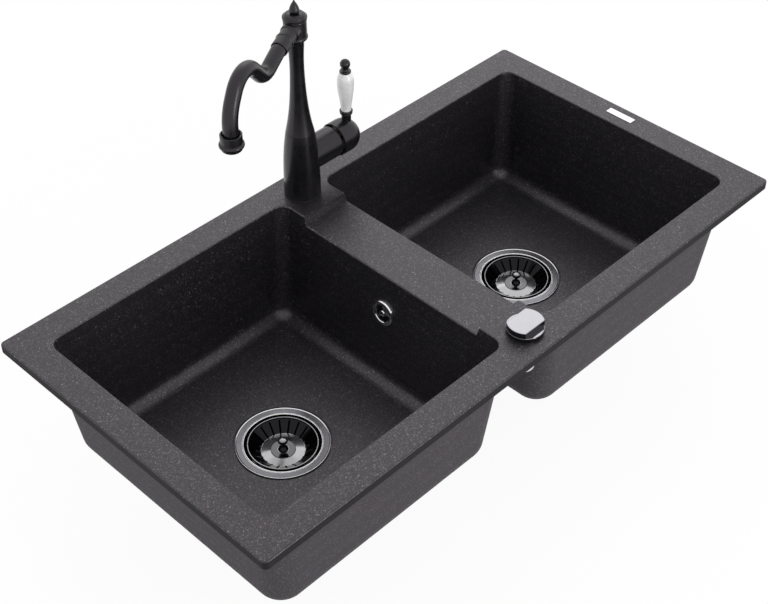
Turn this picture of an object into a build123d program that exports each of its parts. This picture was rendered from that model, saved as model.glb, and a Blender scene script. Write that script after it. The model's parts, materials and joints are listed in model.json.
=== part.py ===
"""Double bowl kitchen sink of granite composite, with its wastes, overflow and swan-neck mixer tap.

Millimetres. +Z is up, +X runs along the sink to the right and +Y to its back. The origin is the
centre of the worktop cut-out, at the worktop's surface, which is the underside of the rim.
"""

from build123d import *
from math import asin, atan2, cos, degrees, radians, sin, tan
import os

os.makedirs("parts", exist_ok=True)

# ---------------------------------------------------------------- driving dimensions: sink
side_lip = 39.0
front_lip = 39.0
rim_thickness = 11.0
rim_corner = 6.0
rim_edge = 1.8
seat_width = 11.0
seat_recess = 1.0
bowl_length = 352.0
bowl_width = 362.0
bowl_depth = 160.0
bowl_corner = 15.0
bowl_bottom_corner = 23.0
divider_width = 68.0
side_draft = 6.0
front_draft = 3.7
wall = 9.0
floor_thickness = 8.0
floor_radius = 18.0
outer_radius = 25.0
opening_edge = 1.5
web_thickness = 11.0
divider_drop = 11.0
knob_deck = 76.0
tap_deck = 78.2
step_lean = 2.6
divider_edge = 2.0
divider_margin = 5.0
tap_hole = 35.0
knob_hole = 28.4

# ---------------------------------------------------------------- driving dimensions: badge plate
badge_length = 40.5
badge_width = 10.5
badge_thickness = 1.0
badge_corner = 1.0
badge_inset = 17.75

# ---------------------------------------------------------------- driving dimensions: wastes
flange_diameter = 114.0
flange_thickness = 2.0
flange_stand = 1.0
flange_bore = 93.0
bead = 0.7
recess_diameter = 118.0
recess_depth = 2.0
drain_gap = 1.0
sheet = 1.2
cup_depth = 30.0
cup_bottom_radius = 39.0
seat_hole_ring = 13.5
seat_hole = 8.0
seat_holes = 6
under_seal_thickness = 2.0
pot_wall = 3.0
pot_rim_width = 10.5
pot_rim_height = 5.0
pot_gap = 3.0
pot_shoulder = 13.0
pot_cone = 18.0
chamber_radius = 30.0
chamber_height = 22.0
outlet_cone = 8.0
outlet_bore = 39.0
outlet_diameter = 47.8
outlet_length = 26.0
boss_radius = 8.0
boss_length = 18.8
rib_thickness = 3.0
rib_height = 8.0
ribs = 3
bolt_head_radius = 7.0
bolt_head_height = 4.0
bolt_radius = 5.0
bolt_length = 20.0

# ---------------------------------------------------------------- driving dimensions: baskets
basket_rim_radius = 43.0
basket_wire = 1.3
basket_drop = 0.5
basket_depth = 13.0
basket_floor_radius = 26.5
basket_sheet = 0.8
basket_slots = 20
slot_width = 2.2
annulus_radius = 15.0
annulus_height = 0.6
basket_floor_rise = 0.6
foot_radius = 19.0
foot_thickness = 4.0
post_radius = 6.0
seal_radius = 22.5
seal_thickness = 3.0
grip_height = 17.0
grip_head = 6.0
grip_head_drop = 3.6
grip_head_edge = 1.2
grip_waist_drop = 7.0
grip_stem = 2.2
grip_base = 6.4
grip_base_rise = 1.6
grip_flare = 3.8
grip_flare_rise = 3.2
grip_flare_end = 4.4
tie_radius = 2.0
foot_clear = 1.5
lift_gap = 0.3

# ---------------------------------------------------------------- driving dimensions: pop-up lift
pin_radius = 2.5
pin_clearance = 0.05
crank_shaft = 3.0
crank_clearance = 0.05
crank_reach = 12.0
crank_drop_angle = 19.5
finger_radius = 2.0
finger_width = 4.0
crank_level = 46.0
crank_boss_radius = 7.0
crank_boss_end = 40.0
arm_length = 20.0
arm_width = 9.0
arm_thickness = 4.0
cable_hole = 2.4
gland_radius = 5.0
gland_spigot = 3.0
gland_spigot_length = 6.0
gland_length = 10.0
bracket_drop = 21.0

# ---------------------------------------------------------------- driving dimensions: pop-up knob
knob_diameter = 44.0
knob_base = 5.8
knob_top = 13.2
knob_gap = 0.4
knob_bar = 28.8
knob_edge = 0.7
knob_ledge = 0.3
collar_radius = 20.0
collar_thickness = 1.2
shank_radius = 13.9
shank_length = 22.0
spindle_radius = 4.0
spindle_clearance = 0.05
knob_socket = 6.0
washer_thickness = 2.0
washer_radius = 19.0
nut_height = 6.0
nut_across = 36.0
drum_radius = 9.0
drum_height = 6.0
drum_gap = 1.5
box_radius = 14.0
box_height = 20.0
box_wall = 2.5

# ---------------------------------------------------------------- driving dimensions: overflow
overflow_depth = 63.0
overflow_y = 0.0
rosette_diameter = 33.0
rosette_height = 3.0
rosette_opening = 11.5
rosette_hub = 4.4
rosette_hub_height = 2.4
rosette_spokes = 4
spoke_width = 2.4
overflow_hole = 26.0
overflow_screw_radius = 2.0
screw_head_radius = 3.4
screw_head_height = 1.6
overflow_seal_radius = 21.0
elbow_flange_radius = 22.0
elbow_flange_thickness = 3.0
elbow_radius = 16.0
elbow_length = 27.0
elbow_wall = 3.0
crossbar_width = 4.0
crossbar_depth = 5.0
crossbar_boss = 4.5
spigot_radius = 12.5
spigot_along = 25.0
spigot_length = 34.0
pipe_bore_radius = 8.5
pipe_radius = 10.0
pipe_bend = 40.0
pipe_level = 27.0
pipe_nut_radius = 15.5
pipe_nut_length = 16.0
inlet_reach = 62.0

# ---------------------------------------------------------------- driving dimensions: tap
# heights are over the rim's top, and a curve's points are radius and height
tap_seal_thickness = 2.0
tap_seal_inner = 18.5
tap_base_radius = 23.0
tap_body_curve = ((22.8, 22.0), (22.0, 50.0), (19.8, 76.0))
tap_seam = 92.0
tap_seam_radius = 17.5
seam_gap = 0.3
branch_height = 50.0
branch_radius = 20.0
branch_end = 52.3
neck_radius = 17.2
neck_end = 55.0
cartridge_radius = 14.5
cartridge_floor = 22.0
inlet_radius = 4.5
inlet_depth = 14.0
inlet_spacing = 13.0
inlet_shift = 5.0
feed_radius = 2.8
feed_step = 3.5
stud_radius = 4.0
stud_shift = 10.0
stud_length = 58.0
stud_engagement = 12.0
clamp_radius = 22.0
clamp_slot_radius = 12.0
clamp_slot_shift = 8.0
clamp_rubber = 3.0
clamp_plate = 2.0
stud_nut_across = 13.0
stud_nut_height = 12.0
socket_radius = 13.0
socket_depth = 24.0
spigot_fit = 11.0
spigot_reach = 23.0
bush_clearance = 0.05
bush_length = 22.0
riser_bore = 6.0
grub_radius = 2.0
grub_height = 80.0
grub_groove = 1.4
grub_clearance = 0.3
grub_end = 18.6
grub_key_radius = 1.0
grub_key_depth = 1.6
riser_curve = (
    (14.6, 107.0),
    (12.6, 120.0),
    (10.8, 137.0),
    (9.2, 163.0),
    (8.7, 179.0),
    (9.2, 205.0),
    (10.2, 219.0),
)
head_foot = (13.2, 221.0)
head_foot_bead = (14.6, 223.5)
barrel_start = 226.0
barrel_end = 244.8
barrel_bead = (14.1, 245.8)
barrel_bead_end = 246.8
head_ring = 248.2
head_ring_edge = 0.8
head_top_radius = 13.3
head_top = 250.6
head_radius = 14.5
barrel_radius = 13.7
barrel_bore = 10.5
barrel_floor = 224.0
cap_reach = 6.0
cap_radius = 12.9
cap_curve = ((12.4, 251.6), (9.2, 253.7))
cap_top_radius = 8.7
cap_top = 254.3
finial_foot_radius = 4.5
finial_curve = ((6.0, 257.6), (5.3, 261.2), (3.9, 264.5), (2.3, 267.2), (1.0, 269.6))
finial_tip_radius = 0.6
finial_top = 270.8

# ---------------------------------------------------------------- driving dimensions: spout
# points are the distance from the riser's axis and the height, in the spout's own upright plane
spout_angle = 22.0
spout_start = (8.0, 236.0)
spout_steps = ((38.0, -6.0), (38.0, -12.0), (48.0, 51.0), (35.3, -48.0))
spout_radii = (60.0, 22.0, 29.0, 50.0)
spout_radius = 9.0
spout_wall = 1.6
collar_start = 12.5
collar_end = 44.0
collar_radius_out = 10.3
collar_head_step = 1.2
collar_head_length = 3.0
collar_bead = 0.8
collar_bead_half = 2.0
collar_lip_gap = 0.6
collar_recess = 3.0
nozzle_top = 196.5
nozzle_bottom = 176.5
nozzle_radius = 12.6
nozzle_ring = 14.5
nozzle_ring_height = 6.0
nozzle_ring_end = 9.2
nozzle_lip_radius = 12.0
nozzle_lip_edge = 0.8
nozzle_lip_height = 3.0
nozzle_cup = 4.0
nozzle_cup_radius = 10.8
aerator_radius = 10.2
aerator_height = 4.5
aerator_recess = 1.5
aerator_hole = 1.8
aerator_rings = (6.4, 3.2)
aerator_counts = (12, 6)

# ---------------------------------------------------------------- driving dimensions: lever
lever_pivot = 45.0
rotor_start = 34.0
rotor_end = 48.0
rotor_radius = 9.0
rotor_clearance = 0.05
rotor_slot = 12.8
rotor_slot_width = 6.6
rotor_pin_radius = 1.5
rotor_pin_length = 16.4
cartridge_end = 44.0
cartridge_clearance = 0.5
cartridge_nut_bore = 9.5
cartridge_nut_end = 50.0
spindle_side = 6.0
lever_spindle_start = 36.0
lever_spindle_end = 72.0
hub_start = 56.0
hub_radius = 21.5
hub_cylinder_end = 71.0
hub_skirt = 20.4
hub_skirt_depth = 9.0
lever_x = 77.5
stem_radius = 6.0
stem_top = 79.5
lower_bead = ((7.9, 80.4), (7.2, 81.3))
lower_groove = (6.7, 81.9)
lower_rim = ((8.4, 83.5), (7.5, 85.0))
grip_bottom_radius = 6.5
grip_curve = ((8.4, 102.0), (10.6, 123.0), (9.7, 133.0))
grip_top = 139.0
grip_top_radius = 6.9
upper_ring_radius = 7.25
upper_ring_edge = 0.6
upper_ring_height = 3.0
lever_rod_radius = 2.5
lever_rod_top = 146.0
rod_clearance = 0.1
tip_foot_radius = 5.2
tip_neck = ((3.9, 143.4), (4.6, 146.2))
tip_shoulder = (4.6, 155.05)
tip_top = 157.0
tip_radius = 6.4

# ---------------------------------------------------------------- worked out from the above
rim_length = divider_width + 2 * (bowl_length + side_lip)
rim_width = bowl_width + 2 * front_lip
divider_front = rim_width / 2 - knob_deck
divider_back = rim_width / 2 - tap_deck
bowl_x = divider_width / 2 + bowl_length / 2
deck_under = seat_recess
rim_top = rim_thickness
pot_radius = flange_bore / 2 + pot_gap
pot_rim_radius = pot_radius + pot_rim_width
drain_hole = flange_bore + 2 * drain_gap
floor_z = rim_top - bowl_depth
under_z = floor_z - floor_thickness
side_slope = tan(radians(side_draft))
front_slope = tan(radians(front_draft))
tap_y = (rim_width / 2 + divider_back) / 2
knob_y = -(rim_width / 2 + divider_front) / 2


def finish(piece, label):
    """Name a finished piece and write it."""
    piece.part.label = label
    export_step(piece.part, f"parts/{label}.step")


def trace(start, *steps):
    """Closed outline: a step is a point, for a line, (way point, end), for an arc, or 3 or more
    points, for a spline."""
    here = start
    for step in steps:
        if not isinstance(step[0], tuple):
            Line(here, step)
            here = step
            continue
        if len(step) == 2:
            ThreePointArc(here, step[0], step[1])
        else:
            Spline(here, *step)
        here = step[-1]
    Line(here, start)


def dome(radius, height, top):
    """Arc of a sphere that runs from (radius, height) up, or down, to the axis at top."""
    rise = top - height
    ball = (radius**2 + rise**2) / (2 * abs(rise))
    centre = top - ball if rise > 0 else top + ball
    half_angle = asin(min(1.0, radius / ball)) / 2
    if abs(rise) > ball:
        half_angle = (radians(180) - 2 * half_angle) / 2
    sign = 1 if rise > 0 else -1
    return ((ball * sin(half_angle), centre + sign * ball * cos(half_angle)), (0, top))


def turned(label, plane, start, *steps):
    """A turned piece: its outline is (radius, height) on the plane's own X and Y, spun about Y."""
    with BuildPart() as piece:
        with BuildSketch(plane):
            with BuildLine():
                trace(start, *steps)
            make_face()
        revolve(axis=Axis(plane.origin, plane.y_dir))
    finish(piece, label)


def upright(x, y, z=0.0):
    """Plane for a turned piece with a vertical axis."""
    return Plane(origin=(x, y, z), x_dir=(1, 0, 0), z_dir=(0, -1, 0))


# ================================================================ sink body
def bowl_opening(depth, grow=0.0):
    """Length and width of a bowl at a depth below the rim's top, with the drafts taken off."""
    length = bowl_length - 2 * depth * side_slope + 2 * grow
    width = bowl_width - 2 * depth * front_slope + 2 * grow
    return length, width


shell_top_corner = bowl_corner + wall
shell_bottom_corner = bowl_bottom_corner + wall
shell_depth = bowl_depth + floor_thickness
web_front = -(divider_front + wall)
web_back = divider_back + wall
drop_z = rim_top - divider_drop

with BuildPart() as sink_body:
    with BuildSketch(Plane.XY):
        RectangleRounded(rim_length, rim_width, rim_corner)
    extrude(amount=rim_thickness)
    fillet(sink_body.faces().sort_by(Axis.Z)[-1].edges(), rim_edge)
    # the underside is recessed inside a flat band, the rim's seat on the worktop
    with BuildSketch(Plane.XY):
        RectangleRounded(rim_length - 2 * seat_width, rim_width - 2 * seat_width, rim_corner)
    extrude(amount=seat_recess, mode=Mode.SUBTRACT)
    # bowl shells, each lofted from inside the rim down to the bottom
    for side in (-1, 1):
        with BuildSketch(Plane.XY.offset(rim_top - rim_thickness / 2)):
            with Locations((side * bowl_x, 0)):
                RectangleRounded(*bowl_opening(rim_thickness / 2, wall), shell_top_corner)
        with BuildSketch(Plane.XY.offset(under_z)):
            with Locations((side * bowl_x, 0)):
                RectangleRounded(*bowl_opening(shell_depth, wall), shell_bottom_corner)
        loft()
    bottom_edges = sink_body.edges().filter_by_position(Axis.Z, under_z - 0.1, under_z + 0.1)
    fillet(bottom_edges, outer_radius)
    # web that carries the lowered divider between the bowls
    with BuildSketch(Plane.XY.offset(drop_z - web_thickness)):
        with Locations((0, (web_front + web_back) / 2)):
            Rectangle(divider_width, web_back - web_front)
    extrude(amount=web_thickness + divider_drop / 2)
    # bowl cavities
    for side in (-1, 1):
        with BuildSketch(Plane.XY.offset(rim_top)):
            with Locations((side * bowl_x, 0)):
                RectangleRounded(*bowl_opening(0), bowl_corner)
        with BuildSketch(Plane.XY.offset(floor_z)):
            with Locations((side * bowl_x, 0)):
                RectangleRounded(*bowl_opening(bowl_depth), bowl_bottom_corner)
        loft(mode=Mode.SUBTRACT)
    floor_edges = sink_body.edges().filter_by_position(Axis.Z, floor_z - 0.1, floor_z + 0.1)
    fillet(floor_edges, floor_radius)
    top_edges = sink_body.edges().filter_by_position(Axis.Z, rim_top - 0.1, rim_top + 0.1)
    opening_edges = top_edges.filter_by_position(
        Axis.Y, -bowl_width / 2 - 1, bowl_width / 2 + 1
    ).filter_by_position(Axis.X, -bowl_x - bowl_length / 2 - 1, bowl_x + bowl_length / 2 + 1)
    fillet(opening_edges, opening_edge)
    # lowered divider, with a leaning step at each end
    with BuildSketch(Plane.YZ):
        with BuildLine():
            Polyline(
                (-divider_front + step_lean, drop_z),
                (divider_back - step_lean, drop_z),
                (divider_back, rim_top),
                (divider_back, rim_top + 1),
                (-divider_front, rim_top + 1),
                (-divider_front, rim_top),
                close=True,
            )
        make_face()
    extrude(amount=divider_width / 2 + divider_margin, both=True, mode=Mode.SUBTRACT)
    divider_edges = (
        sink_body.edges()
        .filter_by_position(Axis.Z, drop_z - 0.1, drop_z + 0.1)
        .filter_by_position(Axis.X, -divider_width, divider_width)
        .filter_by(lambda edge: edge.length > (divider_back + divider_front) / 2)
        .filter_by(lambda edge: abs(edge.center().Y) < divider_margin)
        .filter_by(lambda edge: abs(edge.center().X) > divider_width / 4)
    )
    fillet(divider_edges, divider_edge)
    # drains, each with a shallow recess for its flange
    for side in (-1, 1):
        with BuildSketch(Plane.XY.offset(floor_z)):
            with Locations((side * bowl_x, 0)):
                Circle(recess_diameter / 2)
        extrude(amount=-recess_depth, mode=Mode.SUBTRACT)
        with BuildSketch(Plane.XY.offset(floor_z)):
            with Locations((side * bowl_x, 0)):
                Circle(drain_hole / 2)
        extrude(amount=-2 * floor_thickness, mode=Mode.SUBTRACT)
    # holes through the decks for the tap and the pop-up knob
    with BuildSketch(Plane.XY.offset(rim_top)):
        with Locations((0, tap_y)):
            Circle(tap_hole / 2)
        with Locations((0, knob_y)):
            Circle(knob_hole / 2)
    extrude(amount=-2 * rim_thickness, mode=Mode.SUBTRACT)

# the overflow lies on the left bowl's right wall, which leans by the side draft
overflow_x = -(divider_width / 2 + overflow_depth * side_slope)
overflow_normal = (-cos(radians(side_draft)), 0, sin(radians(side_draft)))
overflow_seat = Plane(
    origin=(overflow_x, overflow_y, rim_top - overflow_depth), x_dir=(0, 1, 0), z_dir=overflow_normal
)
wall_across = wall * cos(radians(side_draft))

with BuildPart() as overflow_cut:
    with BuildSketch(overflow_seat.offset(wall)):
        Circle(overflow_hole / 2)
    extrude(amount=-3 * wall)
with BuildPart() as sink_with_overflow:
    add(sink_body.part)
    add(overflow_cut.part, mode=Mode.SUBTRACT)
finish(sink_with_overflow, "sink_body")

# ---------------------------------------------------------------- bare badge plate on the right rim
with BuildPart() as badge_plate:
    with BuildSketch(Plane.XY.offset(rim_top)):
        with Locations((rim_length / 2 - badge_inset, 0)):
            RectangleRounded(badge_width, badge_length, badge_corner)
    extrude(amount=badge_thickness)
    chamfer(badge_plate.faces().sort_by(Axis.Z)[-1].edges(), badge_thickness / 4)
finish(badge_plate, "badge_plate")

# ================================================================ wastes and baskets
flange_z = floor_z + flange_stand
flange_under = flange_z - flange_thickness
recess_z = floor_z - recess_depth
cup_top_radius = flange_bore / 2 - sheet
cup_floor = flange_z - cup_depth
pot_top = under_z - under_seal_thickness
shoulder_z = pot_top - pot_shoulder
cone_z = shoulder_z - pot_cone
chamber_z = cone_z - chamber_height
outlet_z = chamber_z - outlet_cone
outlet_end = outlet_z - outlet_length
boss_top = cup_floor - sheet
boss_end = boss_top - boss_length
crank_z = pot_top - crank_level
pipe_z = pot_top - pipe_level
arm_y = -(crank_boss_end + arm_thickness / 2 + crank_clearance)
bracket_z = crank_z - bracket_drop
foot_ceiling = cup_floor + bolt_head_height + 2.0


def crank_arm_x(x):
    """Where the end of the crank's outer arm stands, over the gland of the pull cable."""
    return x + crank_reach + arm_length * cos(radians(crank_drop_angle))


def waste_flange(name, x, hole_radius):
    """Pressed steel flange and cup, with outlet holes in its floor round the fixing bolt."""
    half = flange_diameter / 2
    inner = flange_bore / 2
    cup_inner = cup_bottom_radius - sheet
    with BuildPart() as piece:
        with BuildSketch(upright(x, 0, flange_z)):
            with BuildLine():
                trace(
                    (0, -cup_depth - sheet),
                    (cup_bottom_radius, -cup_depth - sheet),
                    (inner, -flange_thickness - cup_depth / 3),
                    (inner, -flange_thickness),
                    (half, -flange_thickness),
                    (half, -bead),
                    ((half - bead * 0.3, -bead * 0.3), (half - bead, 0)),
                    (half - 3 * bead, -bead),
                    (inner + 2 * bead, -bead),
                    ((inner + bead * 0.3, -bead * 0.1), (inner - sheet / 2, -bead)),
                    (cup_top_radius, -flange_thickness - cup_depth / 3),
                    (cup_inner, -cup_depth),
                    (0, -cup_depth),
                )
            make_face()
        revolve(axis=Axis((x, 0, 0), (0, 0, 1)))
        with BuildSketch(Plane.XY.offset(cup_floor)):
            with Locations((x, 0)):
                Circle(hole_radius)
                with PolarLocations(seat_hole_ring, seat_holes, start_angle=180 / seat_holes):
                    Circle(seat_hole / 2)
        extrude(amount=-2 * sheet, mode=Mode.SUBTRACT)
    finish(piece, name)


def ring(name, x, inner, outer, bottom, top):
    """A flat ring, such as a seal or a washer."""
    with BuildPart() as piece:
        with BuildSketch(Plane.XY.offset(bottom)):
            with Locations((x, 0)):
                Circle(outer)
                Circle(inner, mode=Mode.SUBTRACT)
        extrude(amount=top - bottom)
    finish(piece, name)


def pot_outline(wall_in):
    """Radius and height points of the waste pot, for its outside (0) or its inside (wall_in)."""
    step = pot_wall - wall_in
    return [
        (pot_radius + step, shoulder_z),
        (chamber_radius + step, cone_z),
        (chamber_radius + step, chamber_z),
    ]


def waste_pot(name, x, bore_radius, lifts):
    """Plastic waste body: pot, outlet spigot and ribbed centre boss; the lifting one has more."""
    outside = pot_outline(0)
    inside = pot_outline(pot_wall)
    spigot = outlet_diameter / 2
    boss_start = chamber_radius + pot_wall
    arm_x = crank_arm_x(x)
    bracket_length = arm_x + gland_radius - x - crank_reach
    shelf_length = -arm_y + gland_radius - boss_start
    with BuildPart() as piece:
        with BuildSketch(upright(x, 0)):
            with BuildLine():
                trace(
                    (0, outlet_end),
                    (spigot, outlet_end),
                    (spigot, outlet_z),
                    outside[2],
                    outside[1],
                    outside[0],
                    (pot_radius + pot_wall, pot_top - pot_rim_height),
                    (pot_rim_radius, pot_top - pot_rim_height),
                    (pot_rim_radius, pot_top),
                    (0, pot_top),
                )
            make_face()
        revolve(axis=Axis((x, 0, 0), (0, 0, 1)))
        if lifts:
            # bearing boss of the crank, which comes in from the front
            with BuildSketch(Plane.XZ):
                with Locations((x + crank_reach, crank_z)):
                    Circle(crank_boss_radius)
            extrude(amount=crank_boss_end)
            # inlet for the overflow pipe, towards the divider
            with BuildSketch(Plane.YZ.offset(x)):
                with Locations((0, pipe_z)):
                    Circle(pipe_radius + pot_wall)
            extrude(amount=inlet_reach)
            # bracket on that boss for the gland of the pull cable, under the end of the crank's arm
            with BuildSketch(Plane.XZ.offset(boss_start)):
                with Locations((x + crank_reach + bracket_length / 2, crank_z - bracket_drop / 2)):
                    Rectangle(bracket_length, bracket_drop)
            extrude(amount=pot_wall)
            with BuildSketch(Plane.XY.offset(bracket_z)):
                with Locations((arm_x, -boss_start - shelf_length / 2)):
                    Rectangle(2 * gland_radius, shelf_length)
            extrude(amount=pot_wall)
        # the hollow inside
        with BuildSketch(upright(x, 0)):
            with BuildLine():
                trace(
                    (0, outlet_end),
                    (outlet_bore / 2, outlet_end),
                    (outlet_bore / 2, outlet_z),
                    inside[2],
                    inside[1],
                    inside[0],
                    (pot_radius, pot_top),
                    (0, pot_top),
                )
            make_face()
        revolve(axis=Axis((x, 0, 0), (0, 0, 1)), mode=Mode.SUBTRACT)
        # centre boss on its ribs
        with BuildSketch(Plane.XY.offset(boss_end)):
            with Locations((x, 0)):
                Circle(boss_radius)
        extrude(amount=boss_length)
        rib_length = chamber_radius + pot_wall / 2
        with BuildSketch(Plane.XY.offset(boss_end)):
            with Locations((x, 0)):
                with PolarLocations(rib_length / 2, ribs, start_angle=180 / ribs):
                    Rectangle(rib_length, rib_thickness)
        extrude(amount=rib_height)
        with BuildSketch(Plane.XY.offset(boss_end)):
            with Locations((x, 0)):
                Circle(bore_radius)
        extrude(amount=boss_length, mode=Mode.SUBTRACT)
        if lifts:
            with BuildSketch(Plane.XZ):
                with Locations((x + crank_reach, crank_z)):
                    Circle(crank_shaft + crank_clearance)
            extrude(amount=2 * crank_boss_end, mode=Mode.SUBTRACT)
            with BuildSketch(Plane.YZ.offset(x + chamber_radius - pot_wall)):
                with Locations((0, pipe_z)):
                    Circle(pipe_bore_radius)
            extrude(amount=inlet_reach, mode=Mode.SUBTRACT)
            with BuildSketch(Plane.XY.offset(bracket_z)):
                with Locations((arm_x, arm_y)):
                    Circle(gland_spigot)
            extrude(amount=pot_wall, mode=Mode.SUBTRACT)
    finish(piece, name)


def basket(side_name, x):
    """Perforated steel basket, hanging free in the cup, with its slots cut all round."""
    rim_z = flange_z - basket_drop - basket_wire
    floor_top = flange_z - basket_depth
    annulus_top = floor_top + basket_floor_rise + annulus_height
    ring_radius = basket_rim_radius - basket_wire
    with BuildPart() as piece:
        with BuildSketch(upright(x, 0)):
            with BuildLine():
                trace(
                    (0, floor_top - basket_sheet),
                    (basket_floor_radius, floor_top - basket_sheet),
                    (ring_radius, rim_z - basket_sheet),
                    (ring_radius - basket_sheet, rim_z),
                    (basket_floor_radius, floor_top),
                    (annulus_radius, floor_top + basket_floor_rise),
                    (annulus_radius - annulus_height, annulus_top),
                    (0, annulus_top),
                )
            make_face()
            with Locations((ring_radius, rim_z)):
                Circle(basket_wire)
        revolve(axis=Axis((x, 0, 0), (0, 0, 1)))
        slot_start = basket_floor_radius - basket_sheet
        slot_length = ring_radius - basket_wire - basket_sheet - slot_start
        with BuildSketch(Plane.XY.offset(floor_top + basket_sheet / 2)):
            with Locations((x, 0)):
                with PolarLocations(slot_start + slot_length / 2, basket_slots):
                    SlotOverall(slot_length, slot_width)
        extrude(amount=basket_depth, both=True, mode=Mode.SUBTRACT)
        with BuildSketch(Plane.XY.offset(floor_top)):
            with Locations((x, 0)):
                Circle(tie_radius)
        extrude(amount=2 * basket_sheet + basket_floor_rise, both=True, mode=Mode.SUBTRACT)
    finish(piece, f"{side_name}_basket")


def basket_fittings(side_name, x):
    """Grip on top of the basket, foot under it and the seal that closes the cup's holes."""
    top = flange_z - basket_depth + basket_floor_rise + annulus_height
    under = flange_z - basket_depth - basket_sheet
    foot_under = cup_floor + seal_thickness - 0.5
    grip_top_z = top + grip_height
    edge_radius = grip_head - grip_head_edge
    edge_z = grip_top_z - grip_head_edge
    turned(
        f"{side_name}_basket_grip",
        upright(x, 0),
        (0, under - foot_thickness),
        (tie_radius, under - foot_thickness),
        (tie_radius, top),
        (grip_base, top),
        (grip_base - 0.6, top + grip_base_rise),
        (grip_flare, top + grip_flare_rise),
        (grip_stem, top + grip_flare_end),
        (grip_stem, grip_top_z - grip_waist_drop),
        (grip_head - 1.6, grip_top_z - grip_waist_drop + 1.4),
        ((grip_head, grip_top_z - grip_head_drop), (edge_radius, edge_z)),
        dome(edge_radius, edge_z, grip_top_z),
    )
    hollow = bolt_head_radius + foot_clear
    turned(
        f"{side_name}_basket_foot",
        upright(x, 0),
        (0, foot_ceiling),
        (hollow, foot_ceiling),
        (hollow, foot_under),
        (foot_radius, foot_under),
        (foot_radius, foot_under + foot_thickness),
        (hollow + 2, foot_under + foot_thickness + 1),
        (post_radius, foot_ceiling + foot_thickness),
        (post_radius, under),
        (tie_radius, under),
        (tie_radius, under - foot_thickness),
        (0, under - foot_thickness),
    )
    turned(
        f"{side_name}_basket_seal",
        upright(x, 0),
        (foot_radius, cup_floor + 0.3),
        (seal_radius, cup_floor),
        (seal_radius + 0.6, cup_floor + 1),
        (foot_radius + 1, cup_floor + seal_thickness + 1),
        (foot_radius, cup_floor + seal_thickness + 1),
    )


def fixing_bolt(name, x, hollow_radius):
    """Bolt that draws the flange and the waste pot together; hollow where the lift pin runs."""
    shank_end = cup_floor - bolt_length
    turned(
        name,
        upright(x, 0),
        (hollow_radius, shank_end),
        (bolt_radius, shank_end),
        (bolt_radius, cup_floor),
        (bolt_head_radius, cup_floor),
        (bolt_head_radius, cup_floor + bolt_head_height - 1),
        (bolt_head_radius - 1, cup_floor + bolt_head_height),
        (hollow_radius, cup_floor + bolt_head_height),
    )


for side_name, side in (("left", -1), ("right", 1)):
    drain_x = side * bowl_x
    lifts = side_name == "left"
    waste_flange(f"{side_name}_waste_flange", drain_x, bolt_radius)
    seal_outer = flange_diameter / 2 - 1
    ring(f"{side_name}_flange_seal", drain_x, drain_hole / 2, seal_outer, recess_z, flange_under)
    ring(f"{side_name}_pot_seal", drain_x, pot_radius, pot_rim_radius - 1, pot_top, under_z)
    waste_pot(f"{side_name}_waste_pot", drain_x, bolt_radius, lifts)
    fixing_bolt(f"{side_name}_fixing_bolt", drain_x, pin_radius + pin_clearance if lifts else 0)
    basket(side_name, drain_x)
    basket_fittings(side_name, drain_x)


# ---------------------------------------------------------------- lift of the left basket
finger_top = crank_z - crank_reach * sin(radians(crank_drop_angle)) + finger_radius
pin_bottom = finger_top + lift_gap
turned(
    "left_lift_pin",
    upright(-bowl_x, 0),
    (0, foot_ceiling - lift_gap),
    (pin_radius, foot_ceiling - lift_gap),
    (pin_radius, pin_bottom + pin_radius),
    dome(pin_radius, pin_bottom + pin_radius, pin_bottom),
)

crank_x = -bowl_x + crank_reach
with BuildPart() as left_lift_crank:
    with BuildSketch(Plane.XZ.offset(-finger_width / 2)):
        with Locations((crank_x, crank_z)):
            Circle(crank_shaft)
    extrude(amount=finger_width / 2 - arm_y + arm_thickness / 2)
    with BuildSketch(Plane.XZ):
        with BuildLine():
            finger_line = Line(
                (crank_x, crank_z),
                (
                    crank_x - crank_reach * cos(radians(crank_drop_angle)),
                    crank_z - crank_reach * sin(radians(crank_drop_angle)),
                ),
            )
        SlotArc(finger_line, 2 * finger_radius)
    extrude(amount=finger_width / 2, both=True)
    with BuildSketch(Plane.XZ.offset(-arm_y - arm_thickness / 2)):
        with BuildLine():
            arm_line = Line(
                (crank_x, crank_z),
                (crank_arm_x(-bowl_x), crank_z + arm_length * sin(radians(crank_drop_angle))),
            )
        SlotArc(arm_line, arm_width)
        with Locations((crank_arm_x(-bowl_x), crank_z + arm_length * sin(radians(crank_drop_angle)))):
            Circle(cable_hole / 2, mode=Mode.SUBTRACT)
    extrude(amount=arm_thickness)
finish(left_lift_crank, "left_lift_crank")


def cable_gland(name, plane):
    """Gland of the pull cable; the plane's origin is its shoulder, and its Y runs into the hole."""
    turned(
        name,
        plane,
        (cable_hole / 2, -gland_length),
        (gland_radius - 1, -gland_length),
        (gland_radius, -gland_length + 1),
        (gland_radius, 0),
        (gland_spigot, 0),
        (gland_spigot, gland_spigot_length),
        (cable_hole / 2, gland_spigot_length),
    )


cable_gland("waste_cable_gland", upright(crank_arm_x(-bowl_x), arm_y, bracket_z))

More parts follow.
